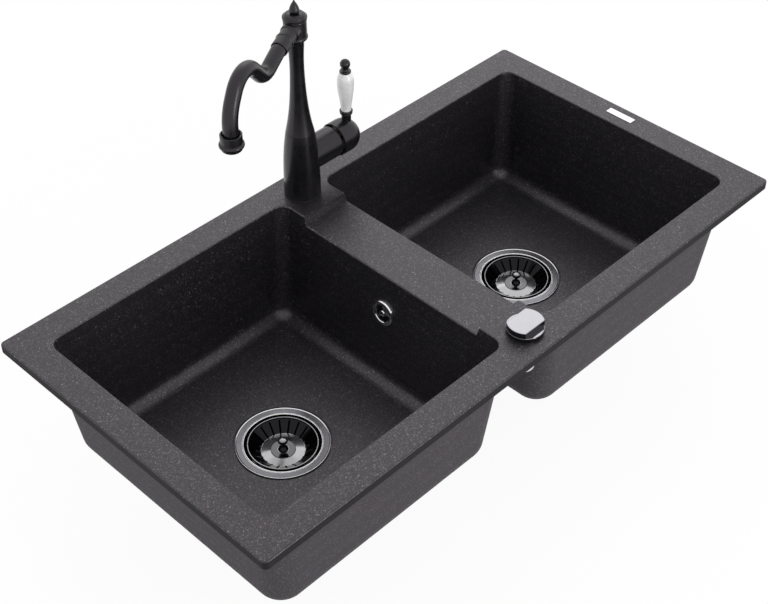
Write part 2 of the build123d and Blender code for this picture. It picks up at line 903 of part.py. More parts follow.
# ================================================================ pop-up knob
knob_plane = upright(0, knob_y)
box_top = -shank_length
box_bottom = box_top - box_height
drum_bottom = box_bottom + box_wall + drum_gap
knob_under = rim_top + collar_thickness + knob_gap
turned(
    "knob_housing",
    knob_plane,
    (spindle_radius + spindle_clearance, box_top),
    (shank_radius, box_top),
    (shank_radius, rim_top),
    (collar_radius, rim_top),
    (collar_radius, rim_top + collar_thickness - 0.4),
    (collar_radius - 0.4, rim_top + collar_thickness),
    (spindle_radius + spindle_clearance, rim_top + collar_thickness),
)
turned(
    "knob_spindle",
    knob_plane,
    (0, drum_bottom),
    (drum_radius, drum_bottom),
    (drum_radius, drum_bottom + 1),
    (drum_radius - 1.5, drum_bottom + drum_height / 2),
    (drum_radius, drum_bottom + drum_height - 1),
    (drum_radius, drum_bottom + drum_height),
    (spindle_radius, drum_bottom + drum_height),
    (spindle_radius, knob_under + knob_socket),
    (0, knob_under + knob_socket),
)
turned(
    "knob_washer",
    knob_plane,
    (knob_hole / 2, deck_under - washer_thickness),
    (washer_radius, deck_under - washer_thickness),
    (washer_radius, deck_under),
    (knob_hole / 2, deck_under),
)
with BuildPart() as knob_nut:
    with BuildSketch(Plane.XY.offset(deck_under - washer_thickness - nut_height)):
        with Locations((0, knob_y)):
            RegularPolygon(nut_across / 2, 6, major_radius=False)
            Circle(shank_radius, mode=Mode.SUBTRACT)
    extrude(amount=nut_height)
finish(knob_nut, "knob_nut")

gland_x = drum_radius - 1
gland_z = drum_bottom + drum_height / 2
gland_face = knob_y + box_radius + 2
with BuildPart() as knob_cable_box:
    with BuildSketch(Plane.XY.offset(box_bottom)):
        with Locations((0, knob_y)):
            Circle(box_radius)
    extrude(amount=box_height)
    with BuildSketch(Plane.XZ.offset(-gland_face)):
        with Locations((gland_x, gland_z)):
            Circle(gland_radius + 1)
    extrude(amount=gland_face - knob_y)
    with BuildSketch(Plane.XY.offset(box_bottom + box_wall)):
        with Locations((0, knob_y)):
            Circle(box_radius - box_wall)
    extrude(amount=box_height - 2 * box_wall, mode=Mode.SUBTRACT)
    with BuildSketch(Plane.XY.offset(box_top)):
        with Locations((0, knob_y)):
            Circle(spindle_radius + spindle_clearance)
    extrude(amount=-2 * box_wall, mode=Mode.SUBTRACT)
    with BuildSketch(Plane.XZ.offset(-gland_face)):
        with Locations((gland_x, gland_z)):
            Circle(gland_spigot)
    extrude(amount=gland_face - knob_y, mode=Mode.SUBTRACT)
finish(knob_cable_box, "knob_cable_box")
cable_gland(
    "knob_cable_gland", Plane(origin=(gland_x, gland_face, gland_z), x_dir=(1, 0, 0), z_dir=(0, 0, -1))
)

with BuildPart() as control_knob:
    with BuildSketch(Plane.XY.offset(knob_under)):
        with Locations((0, knob_y)):
            Circle(knob_diameter / 2)
    extrude(amount=rim_top + knob_base - knob_under)
    fillet(control_knob.faces().sort_by(Axis.Z)[-1].edges(), knob_edge)
    with BuildSketch(Plane.XY.offset(knob_under)):
        with Locations((0, knob_y)):
            Circle(knob_diameter / 2 - knob_ledge)
            Rectangle(knob_diameter, knob_bar, mode=Mode.INTERSECT)
    extrude(amount=rim_top + knob_top - knob_under)
    fillet(control_knob.faces().sort_by(Axis.Z)[-1].edges(), knob_edge)
    with BuildSketch(Plane.XY.offset(knob_under)):
        with Locations((0, knob_y)):
            Circle(spindle_radius)
    extrude(amount=knob_socket, mode=Mode.SUBTRACT)
finish(control_knob, "control_knob")

# ================================================================ overflow
overflow_origin = overflow_seat.origin
overflow_turn = Plane(
    origin=overflow_origin,
    x_dir=(0, 1, 0),
    z_dir=(sin(radians(side_draft)), 0, cos(radians(side_draft))),
)
rosette_radius = rosette_diameter / 2
with BuildPart() as overflow_rosette:
    with BuildSketch(overflow_turn):
        with BuildLine():
            trace(
                (rosette_opening, 0),
                (rosette_radius, 0),
                (rosette_radius, rosette_height * 0.4),
                (
                    (rosette_radius - 0.7, rosette_height * 0.85),
                    (rosette_radius - rosette_height, rosette_height),
                ),
                (rosette_opening + 0.6, rosette_height),
                (rosette_opening, rosette_height - 0.6),
            )
        make_face()
    revolve(axis=Axis(overflow_turn.origin, overflow_turn.y_dir))
    with BuildSketch(overflow_seat.offset(spoke_width / 3)):
        with PolarLocations(0, rosette_spokes // 2, start_angle=180 / rosette_spokes):
            Rectangle(2 * rosette_opening + 1, spoke_width)
        Circle(rosette_hub)
        Circle(overflow_screw_radius, mode=Mode.SUBTRACT)
    extrude(amount=rosette_hub_height - spoke_width / 3)
finish(overflow_rosette, "overflow_rosette")

seal_face = -wall_across - under_seal_thickness
elbow_back = seal_face - elbow_length
bar_back = seal_face - crossbar_depth
turned(
    "overflow_seal",
    overflow_turn,
    (overflow_hole / 2, seal_face),
    (overflow_seal_radius, seal_face),
    (overflow_seal_radius, -wall_across),
    (overflow_hole / 2, -wall_across),
)
screw_head_side = rosette_hub_height + screw_head_height / 2
screw_head_top = rosette_hub_height + screw_head_height
turned(
    "overflow_screw",
    overflow_turn,
    (0, bar_back),
    (overflow_screw_radius, bar_back),
    (overflow_screw_radius, rosette_hub_height),
    (screw_head_radius, rosette_hub_height),
    (screw_head_radius, screw_head_side),
    dome(screw_head_radius, screw_head_side, screw_head_top),
)

spigot_x = overflow_x + spigot_along * cos(radians(side_draft))
spigot_z = rim_top - overflow_depth - spigot_along * sin(radians(side_draft))
pipe_start = spigot_z - spigot_length
elbow_bore = elbow_radius - elbow_wall
with BuildPart() as overflow_elbow:
    with BuildSketch(overflow_turn):
        with BuildLine():
            trace(
                (0, elbow_back),
                (elbow_radius, elbow_back),
                (elbow_radius, seal_face - elbow_flange_thickness),
                (elbow_flange_radius, seal_face - elbow_flange_thickness),
                (elbow_flange_radius, seal_face),
                (0, seal_face),
            )
        make_face()
    revolve(axis=Axis(overflow_turn.origin, overflow_turn.y_dir))
    with BuildSketch(Plane.XY.offset(pipe_start)):
        with Locations((spigot_x, overflow_y)):
            Circle(spigot_radius)
    extrude(amount=spigot_length)
    with BuildSketch(overflow_turn):
        with BuildLine():
            trace(
                (0, elbow_back + elbow_wall),
                (elbow_bore, elbow_back + elbow_wall),
                (elbow_bore, seal_face),
                (0, seal_face),
            )
        make_face()
    revolve(axis=Axis(overflow_turn.origin, overflow_turn.y_dir), mode=Mode.SUBTRACT)
    with BuildSketch(Plane.XY.offset(pipe_start)):
        with Locations((spigot_x, overflow_y)):
            Circle(pipe_bore_radius)
    extrude(amount=spigot_length, mode=Mode.SUBTRACT)
    with BuildSketch(overflow_seat.offset(bar_back)):
        Rectangle(2 * elbow_bore + elbow_wall, crossbar_width)
        Circle(crossbar_boss)
        Circle(overflow_screw_radius, mode=Mode.SUBTRACT)
    extrude(amount=crossbar_depth)
finish(overflow_elbow, "overflow_elbow")

inlet_x = -bowl_x + inlet_reach
with BuildPart() as overflow_pipe:
    with BuildLine():
        pipe_path = FilletPolyline(
            (spigot_x, overflow_y, pipe_start),
            (spigot_x, overflow_y, pipe_z),
            (inlet_x, overflow_y, pipe_z),
            radius=pipe_bend,
        )
    with BuildSketch(Plane(origin=pipe_path @ 0, z_dir=pipe_path % 0)):
        Circle(pipe_radius)
        Circle(pipe_bore_radius, mode=Mode.SUBTRACT)
    sweep()
finish(overflow_pipe, "overflow_pipe")


def joint_outline(narrow, wide):
    """Half section of a nut over a joint, from the pipe's side to the wider spigot's side."""
    half = pipe_nut_length / 2
    return (
        (narrow, -half),
        (pipe_nut_radius - 1, -half),
        (pipe_nut_radius, -half + 1),
        (pipe_nut_radius, half - 1),
        (pipe_nut_radius - 1, half),
        (wide, half),
        (wide, 0),
        (narrow, 0),
    )


with BuildPart() as overflow_pipe_nuts:
    with BuildSketch(upright(spigot_x, overflow_y, pipe_start)):
        with BuildLine():
            trace(*joint_outline(pipe_radius, spigot_radius))
        make_face()
    revolve(axis=Axis((spigot_x, overflow_y, 0), (0, 0, 1)))
    with BuildSketch(Plane(origin=(inlet_x, 0, pipe_z), x_dir=(0, 1, 0), z_dir=(0, 0, 1))):
        with BuildLine():
            trace(*joint_outline(pipe_radius, pipe_radius + pot_wall))
        make_face()
    revolve(axis=Axis((inlet_x, 0, pipe_z), (1, 0, 0)))
finish(overflow_pipe_nuts, "overflow_pipe_nuts")


# ================================================================ tap
tap_plane = upright(0, tap_y, rim_top)
branch_plane = Plane(
    origin=(0, tap_y, rim_top + branch_height), x_dir=(0, 1, 0), z_dir=(0, 0, -1)
)
seam_top = tap_seam + seam_gap
socket_floor = tap_seam - socket_depth
spigot_end = seam_top - spigot_reach
feed_low = branch_height - feed_step
feed_high = branch_height + feed_step
feed_y = tap_y - inlet_shift
outlet_y = tap_y + inlet_shift

turned(
    "tap_base_seal",
    tap_plane,
    (tap_seal_inner, 0),
    (tap_base_radius - 0.4, 0),
    (tap_base_radius - 0.2, tap_seal_thickness),
    (tap_seal_inner, tap_seal_thickness),
)

with BuildPart() as tap_body:
    with BuildSketch(tap_plane):
        with BuildLine():
            trace(
                (0, tap_seal_thickness),
                (tap_base_radius, tap_seal_thickness),
                (*tap_body_curve, (tap_seam_radius, tap_seam)),
                (0, tap_seam),
            )
        make_face()
    revolve(axis=Axis((0, tap_y, 0), (0, 0, 1)))
    with BuildSketch(branch_plane):
        with BuildLine():
            trace(
                (0, 0),
                (branch_radius, 0),
                (branch_radius, branch_end - 0.6),
                (branch_radius - 0.6, branch_end),
                (neck_radius, branch_end),
                (neck_radius, neck_end),
                (0, neck_end),
            )
        make_face()
    revolve(axis=Axis(branch_plane.origin, branch_plane.y_dir))
    with BuildSketch(Plane.YZ.offset(cartridge_floor)):
        with Locations((tap_y, rim_top + branch_height)):
            Circle(cartridge_radius)
    extrude(amount=neck_end, mode=Mode.SUBTRACT)
    with BuildSketch(Plane.XY.offset(rim_top + socket_floor)):
        with Locations((0, tap_y)):
            Circle(socket_radius)
    extrude(amount=2 * socket_depth, mode=Mode.SUBTRACT)
    # threaded inlets and the hole for the stud, from below
    for side in (-1, 1):
        with BuildSketch(Plane.XY.offset(rim_top + tap_seal_thickness)):
            with Locations((side * inlet_spacing / 2, feed_y)):
                Circle(inlet_radius)
        extrude(amount=inlet_depth, mode=Mode.SUBTRACT)
    with BuildSketch(Plane.XY.offset(rim_top + tap_seal_thickness)):
        with Locations((0, tap_y + stud_shift)):
            Circle(stud_radius)
    extrude(amount=stud_engagement, mode=Mode.SUBTRACT)
    # hot and cold feeds to the cartridge, and the mixed water's way up
    for side, level in ((-1, feed_high), (1, feed_low)):
        with BuildSketch(Plane.XY.offset(rim_top + inlet_depth)):
            with Locations((side * inlet_spacing / 2, feed_y)):
                Circle(feed_radius)
        extrude(amount=level - inlet_depth, mode=Mode.SUBTRACT)
        with BuildSketch(Plane.YZ.offset(side * inlet_spacing / 2)):
            with Locations((feed_y, rim_top + level)):
                Circle(feed_radius)
        extrude(amount=cartridge_floor - side * inlet_spacing / 2 + 1, mode=Mode.SUBTRACT)
    with BuildSketch(Plane.YZ):
        with Locations((outlet_y, rim_top + branch_height)):
            Circle(feed_radius)
    extrude(amount=cartridge_floor + 1, mode=Mode.SUBTRACT)
    with BuildSketch(Plane.XY.offset(rim_top + branch_height)):
        with Locations((0, outlet_y)):
            Circle(feed_radius)
    extrude(amount=socket_floor - branch_height + 1, mode=Mode.SUBTRACT)
    with BuildSketch(Plane.XZ.offset(-tap_y)):
        with Locations((0, rim_top + grub_height)):
            Circle(grub_radius)
    extrude(amount=-2 * tap_base_radius, mode=Mode.SUBTRACT)
finish(tap_body, "tap_body")

turned(
    "tap_stud",
    upright(0, tap_y + stud_shift, rim_top + tap_seal_thickness + stud_engagement),
    (0, -stud_length),
    (stud_radius - 1, -stud_length),
    (stud_radius, -stud_length + 1),
    (stud_radius, 0),
    (0, 0),
)


def clamp_piece(name, bottom, top):
    """Horseshoe under the deck, open to the front for the hoses, with a hole for the stud."""
    with BuildPart() as piece:
        with BuildSketch(Plane.XY.offset(bottom)):
            with Locations((0, tap_y)):
                Circle(clamp_radius)
            with Locations((0, tap_y - clamp_slot_shift)):
                Circle(clamp_slot_radius, mode=Mode.SUBTRACT)
            with Locations((0, tap_y - clamp_slot_shift - clamp_radius / 2)):
                Rectangle(2 * clamp_slot_radius, clamp_radius, mode=Mode.SUBTRACT)
            with Locations((0, tap_y + stud_shift)):
                Circle(stud_radius, mode=Mode.SUBTRACT)
        extrude(amount=top - bottom)
    finish(piece, name)


rubber_bottom = deck_under - clamp_rubber
plate_bottom = rubber_bottom - clamp_plate
clamp_piece("tap_clamp_rubber", rubber_bottom, deck_under)
clamp_piece("tap_clamp_plate", plate_bottom, rubber_bottom)
with BuildPart() as tap_stud_nut:
    with BuildSketch(Plane.XY.offset(plate_bottom - stud_nut_height)):
        with Locations((0, tap_y + stud_shift)):
            RegularPolygon(stud_nut_across / 2, 6, major_radius=False)
            Circle(stud_radius, mode=Mode.SUBTRACT)
    extrude(amount=stud_nut_height)
finish(tap_stud_nut, "tap_stud_nut")

# ---------------------------------------------------------------- swivel
groove_radius = spigot_fit - grub_groove
grub_tip = groove_radius + grub_clearance
grub_plane = Plane(origin=(0, tap_y, rim_top + grub_height), x_dir=(1, 0, 0), z_dir=(0, 0, 1))
with BuildPart() as swivel_bush:
    with BuildSketch(tap_plane):
        with BuildLine():
            trace(
                (spigot_fit + bush_clearance, tap_seam - 1 - bush_length),
                (socket_radius, tap_seam - 1 - bush_length),
                (socket_radius, tap_seam - 1),
                (spigot_fit + bush_clearance, tap_seam - 1),
            )
        make_face()
    revolve(axis=Axis((0, tap_y, 0), (0, 0, 1)))
    with BuildSketch(Plane.XZ.offset(-tap_y)):
        with Locations((0, rim_top + grub_height)):
            Circle(grub_radius + grub_clearance)
    extrude(amount=-2 * socket_radius, mode=Mode.SUBTRACT)
finish(swivel_bush, "swivel_bush")
turned(
    "riser_screw",
    grub_plane,
    (0, grub_tip),
    (grub_radius - 0.5, grub_tip),
    (grub_radius, grub_tip + 0.5),
    (grub_radius, grub_end),
    (grub_key_radius, grub_end),
    (grub_key_radius, grub_end - grub_key_depth),
    (0, grub_end - grub_key_depth),
)

# ---------------------------------------------------------------- riser, with the head that takes the spout
spout_plane = Plane(
    origin=(0, tap_y, rim_top),
    x_dir=(-cos(radians(spout_angle)), -sin(radians(spout_angle)), 0),
    z_dir=(-sin(radians(spout_angle)), cos(radians(spout_angle)), 0),
)
spout_bends = [spout_start]
for along, up in spout_steps:
    spout_bends.append((spout_bends[-1][0] + along, spout_bends[-1][1] + up))
outlet_run = spout_bends[-1][0]
first_run, first_rise = spout_steps[0]
first_angle = atan2(-first_rise, first_run)
first_dir = (
    -cos(first_angle) * cos(radians(spout_angle)),
    -cos(first_angle) * sin(radians(spout_angle)),
    -sin(first_angle),
)
first_normal = (
    -sin(first_angle) * cos(radians(spout_angle)),
    -sin(first_angle) * sin(radians(spout_angle)),
    cos(first_angle),
)
spout_root = spout_plane.from_local_coords(spout_start)
collar_plane = Plane(
    origin=spout_root,
    x_dir=(-sin(radians(spout_angle)), cos(radians(spout_angle)), 0),
    z_dir=first_normal,
)

with BuildPart() as spout_riser:
    groove_half = grub_radius + grub_clearance
    with BuildSketch(tap_plane):
        with BuildLine():
            trace(
                (0, spigot_end),
                (spigot_fit - 1, spigot_end),
                (spigot_fit, spigot_end + 1),
                (spigot_fit, grub_height - groove_half),
                (groove_radius, grub_height - groove_half),
                (groove_radius, grub_height + groove_half),
                (spigot_fit, grub_height + groove_half),
                (spigot_fit, seam_top),
                (tap_seam_radius, seam_top),
                riser_curve,
                head_foot,
                (head_foot_bead, (barrel_radius, barrel_start)),
                (barrel_radius, barrel_end),
                (barrel_bead, (barrel_radius, barrel_bead_end)),
                (head_radius, head_ring),
                (head_radius, head_top - head_ring_edge),
                (head_top_radius, head_top),
                (0, head_top),
            )
        make_face()
    revolve(axis=Axis((0, tap_y, 0), (0, 0, 1)))
    with BuildSketch(Plane.XY.offset(rim_top + spigot_end)):
        with Locations((0, tap_y)):
            Circle(riser_bore)
    extrude(amount=barrel_floor - spigot_end + 1, mode=Mode.SUBTRACT)
    with BuildSketch(Plane.XY.offset(rim_top + barrel_floor)):
        with Locations((0, tap_y)):
            Circle(barrel_bore)
    extrude(amount=head_top - barrel_floor + 1, mode=Mode.SUBTRACT)
    with BuildSketch(Plane(origin=spout_root, z_dir=first_dir)):
        Circle(spout_radius)
    extrude(amount=head_radius, mode=Mode.SUBTRACT)
finish(spout_riser, "spout_riser")

turned(
    "head_cap",
    tap_plane,
    (0, head_top - cap_reach),
    (barrel_bore - 1, head_top - cap_reach),
    (barrel_bore, head_top - cap_reach + 1),
    (barrel_bore, head_top),
    (cap_radius, head_top),
    cap_curve,
    (cap_top_radius, cap_top),
    (0, cap_top),
)
turned(
    "head_finial",
    tap_plane,
    (0, cap_top),
    (finial_foot_radius, cap_top),
    finial_curve,
    (finial_tip_radius, finial_top),
    (0, finial_top),
)

# ---------------------------------------------------------------- spout
spout_end = nozzle_bottom + aerator_recess + aerator_height
with BuildPart() as spout_tube:
    with BuildLine(spout_plane):
        spout_path = FilletPolyline(*spout_bends, (outlet_run, spout_end), radius=spout_radii)
    with BuildSketch(Plane(origin=spout_path @ 0, z_dir=spout_path % 0)):
        Circle(spout_radius)
        Circle(spout_radius - spout_wall, mode=Mode.SUBTRACT)
    sweep()
finish(spout_tube, "spout_tube")

with BuildPart() as spout_collar_nut:
    with BuildSketch(collar_plane):
        with BuildLine():
            middle = (collar_start + collar_end) / 2 - spout_start[0]
            start = barrel_radius / 2 - spout_start[0]
            end = collar_end - spout_start[0]
            head_end = collar_start - spout_start[0] + collar_head_length
            trace(
                (spout_radius, start),
                (collar_radius_out + collar_head_step, start),
                (collar_radius_out + collar_head_step, head_end),
                (collar_radius_out, head_end + 1),
                (collar_radius_out, middle - collar_bead_half),
                (
                    (collar_radius_out + collar_bead, middle),
                    (collar_radius_out, middle + collar_bead_half),
                ),
                (collar_radius_out, end - 1),
                (collar_radius_out - 0.4, end),
                (spout_radius + collar_lip_gap, end),
                (spout_radius + collar_lip_gap, end - collar_recess),
                (spout_radius, end - collar_recess),
            )
        make_face()
    revolve(axis=Axis(collar_plane.origin, collar_plane.y_dir))
    with BuildSketch(Plane.XY.offset(rim_top + barrel_floor)):
        with Locations((0, tap_y)):
            Circle(barrel_radius)
    extrude(amount=head_top, both=True, mode=Mode.SUBTRACT)
    add(spout_riser.part, mode=Mode.SUBTRACT)
finish(spout_collar_nut, "spout_collar_nut")

nozzle_foot = spout_plane.from_local_coords((outlet_run, 0))
nozzle_plane = upright(nozzle_foot.X, nozzle_foot.Y, rim_top)
turned(
    "nozzle_sleeve",
    nozzle_plane,
    (aerator_radius, nozzle_bottom),
    (aerator_radius + 1.0, nozzle_bottom),
    (nozzle_lip_radius, nozzle_bottom + nozzle_lip_edge),
    (nozzle_lip_radius, nozzle_bottom + nozzle_lip_height),
    (
        (nozzle_ring, nozzle_bottom + nozzle_ring_height),
        (nozzle_radius, nozzle_bottom + nozzle_ring_end),
    ),
    (nozzle_radius, nozzle_top - 0.6),
    (nozzle_radius - 0.6, nozzle_top),
    (nozzle_cup_radius, nozzle_top),
    (nozzle_cup_radius, nozzle_top - nozzle_cup),
    (spout_radius, nozzle_top - nozzle_cup),
    (spout_radius, spout_end),
    (aerator_radius, spout_end),
)
with BuildPart() as aerator:
    with BuildSketch(Plane.XY.offset(rim_top + nozzle_bottom + aerator_recess)):
        with Locations((nozzle_foot.X, nozzle_foot.Y)):
            Circle(aerator_radius)
            Circle(aerator_hole / 2, mode=Mode.SUBTRACT)
            for hole_ring, holes in zip(aerator_rings, aerator_counts):
                with PolarLocations(hole_ring, holes):
                    Circle(aerator_hole / 2, mode=Mode.SUBTRACT)
    extrude(amount=aerator_height)
finish(aerator, "aerator")

# ---------------------------------------------------------------- cartridge
branch_z = rim_top + branch_height
with BuildPart() as cartridge_body:
    with BuildSketch(Plane.YZ.offset(cartridge_floor)):
        with Locations((tap_y, branch_z)):
            Circle(cartridge_radius)
    extrude(amount=cartridge_end - cartridge_floor)
    with BuildSketch(Plane.YZ.offset(rotor_start - cartridge_clearance)):
        with Locations((tap_y, branch_z)):
            Circle(rotor_radius + rotor_clearance)
    extrude(amount=cartridge_end, mode=Mode.SUBTRACT)
    with BuildSketch(Plane.YZ.offset(cartridge_floor)):
        for port in (
            (feed_y, rim_top + feed_low),
            (feed_y, rim_top + feed_high),
            (outlet_y, branch_z),
        ):
            with Locations(port):
                Circle(feed_radius)
    extrude(amount=rotor_start - cartridge_floor, mode=Mode.SUBTRACT)
finish(cartridge_body, "cartridge_body")
turned(
    "cartridge_nut",
    branch_plane,
    (cartridge_nut_bore, cartridge_end),
    (cartridge_radius, cartridge_end),
    (cartridge_radius, cartridge_nut_end),
    (cartridge_nut_bore, cartridge_nut_end),
)
with BuildPart() as cartridge_rotor:
    with BuildSketch(Plane.YZ.offset(rotor_start)):
        with Locations((tap_y, branch_z)):
            Circle(rotor_radius)
    extrude(amount=rotor_end - rotor_start)
    with BuildSketch(Plane.YZ.offset(lever_spindle_start - cartridge_clearance)):
        with Locations((tap_y, branch_z)):
            Rectangle(rotor_slot_width, rotor_slot)
    extrude(amount=rotor_end, mode=Mode.SUBTRACT)
    with BuildSketch(Plane.XZ.offset(-tap_y)):
        with Locations((lever_pivot, branch_z)):
            Circle(rotor_pin_radius)
    extrude(amount=rotor_radius, both=True, mode=Mode.SUBTRACT)
finish(cartridge_rotor, "cartridge_rotor")
turned(
    "rotor_pin",
    Plane(origin=(lever_pivot, tap_y, branch_z), x_dir=(1, 0, 0), z_dir=(0, 0, 1)),
    (0, -rotor_pin_length / 2),
    (rotor_pin_radius, -rotor_pin_length / 2),
    (rotor_pin_radius, rotor_pin_length / 2),
    (0, rotor_pin_length / 2),
)

# ---------------------------------------------------------------- lever
with BuildPart() as lever_spindle:
    with BuildSketch(Plane.YZ.offset(lever_spindle_start)):
        with Locations((tap_y, branch_z)):
            Rectangle(spindle_side, spindle_side)
    extrude(amount=lever_spindle_end - lever_spindle_start)
    with BuildSketch(Plane.XZ.offset(-tap_y)):
        with Locations((lever_pivot, branch_z)):
            Circle(rotor_pin_radius + pin_clearance)
    extrude(amount=spindle_side, both=True, mode=Mode.SUBTRACT)
finish(lever_spindle, "lever_spindle")

hub_floor = hub_start + hub_skirt_depth
with BuildPart() as lever_hub:
    with BuildSketch(branch_plane):
        with BuildLine():
            trace(
                (0, hub_floor),
                (hub_skirt, hub_floor),
                (hub_skirt, hub_start),
                (hub_radius, hub_start),
                (hub_radius, hub_cylinder_end),
                dome(hub_radius, hub_cylinder_end, hub_cylinder_end + hub_radius),
            )
        make_face()
    revolve(axis=Axis(branch_plane.origin, branch_plane.y_dir))
    with BuildSketch(Plane.XY.offset(branch_z)):
        with Locations((lever_x, tap_y)):
            Circle(stem_radius)
    extrude(amount=stem_top - branch_height)
    with BuildSketch(Plane.XY.offset(branch_z)):
        with Locations((lever_x, tap_y)):
            Circle(lever_rod_radius)
    extrude(amount=lever_rod_top - branch_height)
    with BuildSketch(Plane.YZ.offset(hub_floor)):
        with Locations((tap_y, branch_z)):
            Rectangle(spindle_side, spindle_side)
    extrude(amount=lever_spindle_end - hub_floor, mode=Mode.SUBTRACT)
finish(lever_hub, "lever_hub")

lever_plane = upright(lever_x, tap_y, rim_top)
lever_bore = lever_rod_radius + rod_clearance
grip_bottom = lower_rim[1][1]
upper_ring_end = grip_top + upper_ring_height
upper_edge = upper_ring_radius - upper_ring_edge
with BuildPart() as lever_rings:
    with BuildSketch(lever_plane):
        with BuildLine():
            trace(
                (lever_rod_radius, stem_top),
                (lower_bead[1][0], stem_top),
                lower_bead,
                lower_groove,
                (lower_rim[1][0], lower_groove[1]),
                lower_rim,
                (lever_rod_radius, grip_bottom),
            )
        make_face()
        with BuildLine():
            trace(
                (lever_rod_radius, grip_top),
                (upper_edge, grip_top),
                ((upper_ring_radius, (grip_top + upper_ring_end) / 2), (upper_edge, upper_ring_end)),
                (lever_rod_radius, upper_ring_end),
            )
        make_face()
    revolve(axis=Axis((lever_x, tap_y, 0), (0, 0, 1)))
finish(lever_rings, "lever_rings")
turned(
    "lever_grip",
    lever_plane,
    (lever_bore, grip_bottom),
    (grip_bottom_radius, grip_bottom),
    (*grip_curve, (grip_top_radius, grip_top)),
    (lever_bore, grip_top),
)
ball_height = tip_top - tip_radius
turned(
    "lever_tip",
    lever_plane,
    (lever_rod_radius, upper_ring_end),
    (tip_foot_radius, upper_ring_end),
    tip_neck,
    ((tip_radius, ball_height), tip_shoulder),
    dome(*tip_shoulder, tip_top),
    (0, lever_rod_top),
    (lever_rod_radius, lever_rod_top),
)
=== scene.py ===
# %% [markdown]
# # Double bowl granite sink with a swan-neck mixer
#
# The sink is a drop-in casting: its rim lies on a worktop, and two bowls hang through the cut-out.
# The solids come ready made as a frame of named nodes. This script gives every one of them the
# surface that the real piece has, and sets up a white studio round them. Lengths are metres, +Z
# is up, and the origin is on the worktop's surface, at the middle of the cut-out.

# %% Load the frame
import json
from math import cos, radians, sin
import bpy
from mathutils import Matrix, Vector


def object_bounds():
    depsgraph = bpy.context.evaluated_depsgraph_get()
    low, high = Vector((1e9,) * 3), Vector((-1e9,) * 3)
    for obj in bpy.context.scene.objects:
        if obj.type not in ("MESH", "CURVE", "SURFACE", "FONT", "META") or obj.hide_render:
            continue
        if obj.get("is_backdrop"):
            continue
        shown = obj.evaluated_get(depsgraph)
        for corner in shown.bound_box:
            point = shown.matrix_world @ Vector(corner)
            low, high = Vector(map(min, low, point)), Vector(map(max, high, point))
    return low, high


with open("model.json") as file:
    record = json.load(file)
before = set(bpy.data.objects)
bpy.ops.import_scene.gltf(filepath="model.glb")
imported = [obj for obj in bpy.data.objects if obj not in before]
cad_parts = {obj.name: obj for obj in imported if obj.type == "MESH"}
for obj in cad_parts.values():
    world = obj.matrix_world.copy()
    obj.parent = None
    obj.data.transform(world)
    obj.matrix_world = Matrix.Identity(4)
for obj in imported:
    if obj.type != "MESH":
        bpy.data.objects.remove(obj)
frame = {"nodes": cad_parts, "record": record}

cad_low, cad_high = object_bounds()
nodes = frame["nodes"]
MM = 0.001
print("nodes:", len(nodes), " size in mm:", [round(v / MM) for v in cad_high - cad_low])

# %% [markdown]
# ## Colours
#
# A colour is easiest to read as the hex value that a picture editor shows. Blender's sockets want
# linear light instead, in which twice the number is twice the light, so one function turns the
# first into the second. Its numbers are those of the sRGB standard.

# %% From a hex colour to linear light
def linear(hex_colour):
    """An sRGB hex colour, such as "#5c5b5d", as linear red, green, blue and a full alpha."""
    channels = []
    for start in (1, 3, 5):
        value = int(hex_colour[start:start + 2], 16) / 255
        channels.append(value / 12.92 if value <= 0.04045 else ((value + 0.055) / 1.055) ** 2.4)
    return (*channels, 1.0)


print("half grey in linear light:", [round(v, 3) for v in linear("#808080")])

# %% [markdown]
# ## Nodes in one line
#
# A shader tree is many small nodes, and adding, setting and wiring one by hand takes several
# lines. One function does all three, and uses a second one that fills the inputs of any node. An
# input goes by its name, or by _0, _1 or _2 where a node has several of one name, as Math has. It
# takes a plain value, an output, or a whole node, which stands for its first output in use.

# %% Adding and filling nodes
COLOURS = {"data_type": "RGBA"}


def feed(tree, node, **inputs):
    """Fills a node's inputs, each with a value or with a link from a node or an output."""
    for name, source in inputs.items():
        if name[0] == "_":
            socket = node.inputs[int(name[1:])]
        else:
            label = name.replace("_", " ")
            socket = next(each for each in node.inputs if each.enabled and each.name == label)
        if isinstance(source, bpy.types.Node):
            source = next(output for output in source.outputs if output.enabled)
        if isinstance(source, bpy.types.NodeSocket):
            tree.links.new(source, socket)
        else:
            socket.default_value = source


def add(tree, kind, settings=None, **inputs):
    """Adds a node. Settings are its properties, and the inputs are what feed takes."""
    made = tree.nodes.new("ShaderNode" + kind)
    for name, value in (settings or {}).items():
        setattr(made, name, value)
    feed(tree, made, **inputs)
    return made


print("a Mix node blends colours with the setting", COLOURS)

# %% [markdown]
# ## Starting a material
#
# Each finish starts from two nodes, a Principled shader and an output. The shader could be put
# together from a diffuse and a glossy one, but this one keeps their light in balance by itself.
# Its plain values come first, and the patterns that a finish works out are fed to it later.

# %% Start a material
SHADER = "Principled BSDF"


def start_material(name, **plain):
    """A new material whose shader has plain values; returns it, its tree and the shader."""
    material = bpy.data.materials.new(name)
    material.use_nodes = True
    tree = material.node_tree
    tree.nodes.clear()
    shader = add(tree, "BsdfPrincipled", **plain)
    add(tree, "OutputMaterial", Surface=shader)
    return material, tree, shader


print("every material starts with the node", SHADER)

# %% [markdown]
# ## Unevenness at its real size
#
# No real surface is one value all over. Soft noise brings that in, in two ways: a value can wander
# between two limits, and the surface can have a fine relief. The relief is a bump, which tilts the
# surface's normal and leaves the solid alone, because such lumps are far too low to model.
#
# Every node of the frame keeps the shared origin, so object coordinates are real metres, and a
# pattern's scale is one over its size. Noise stays mostly between 0.3 and 0.7, so that is the
# range that gets stretched to the two limits.

# %% Unevenness and relief
NOISE_LOW, NOISE_HIGH = 0.3, 0.7


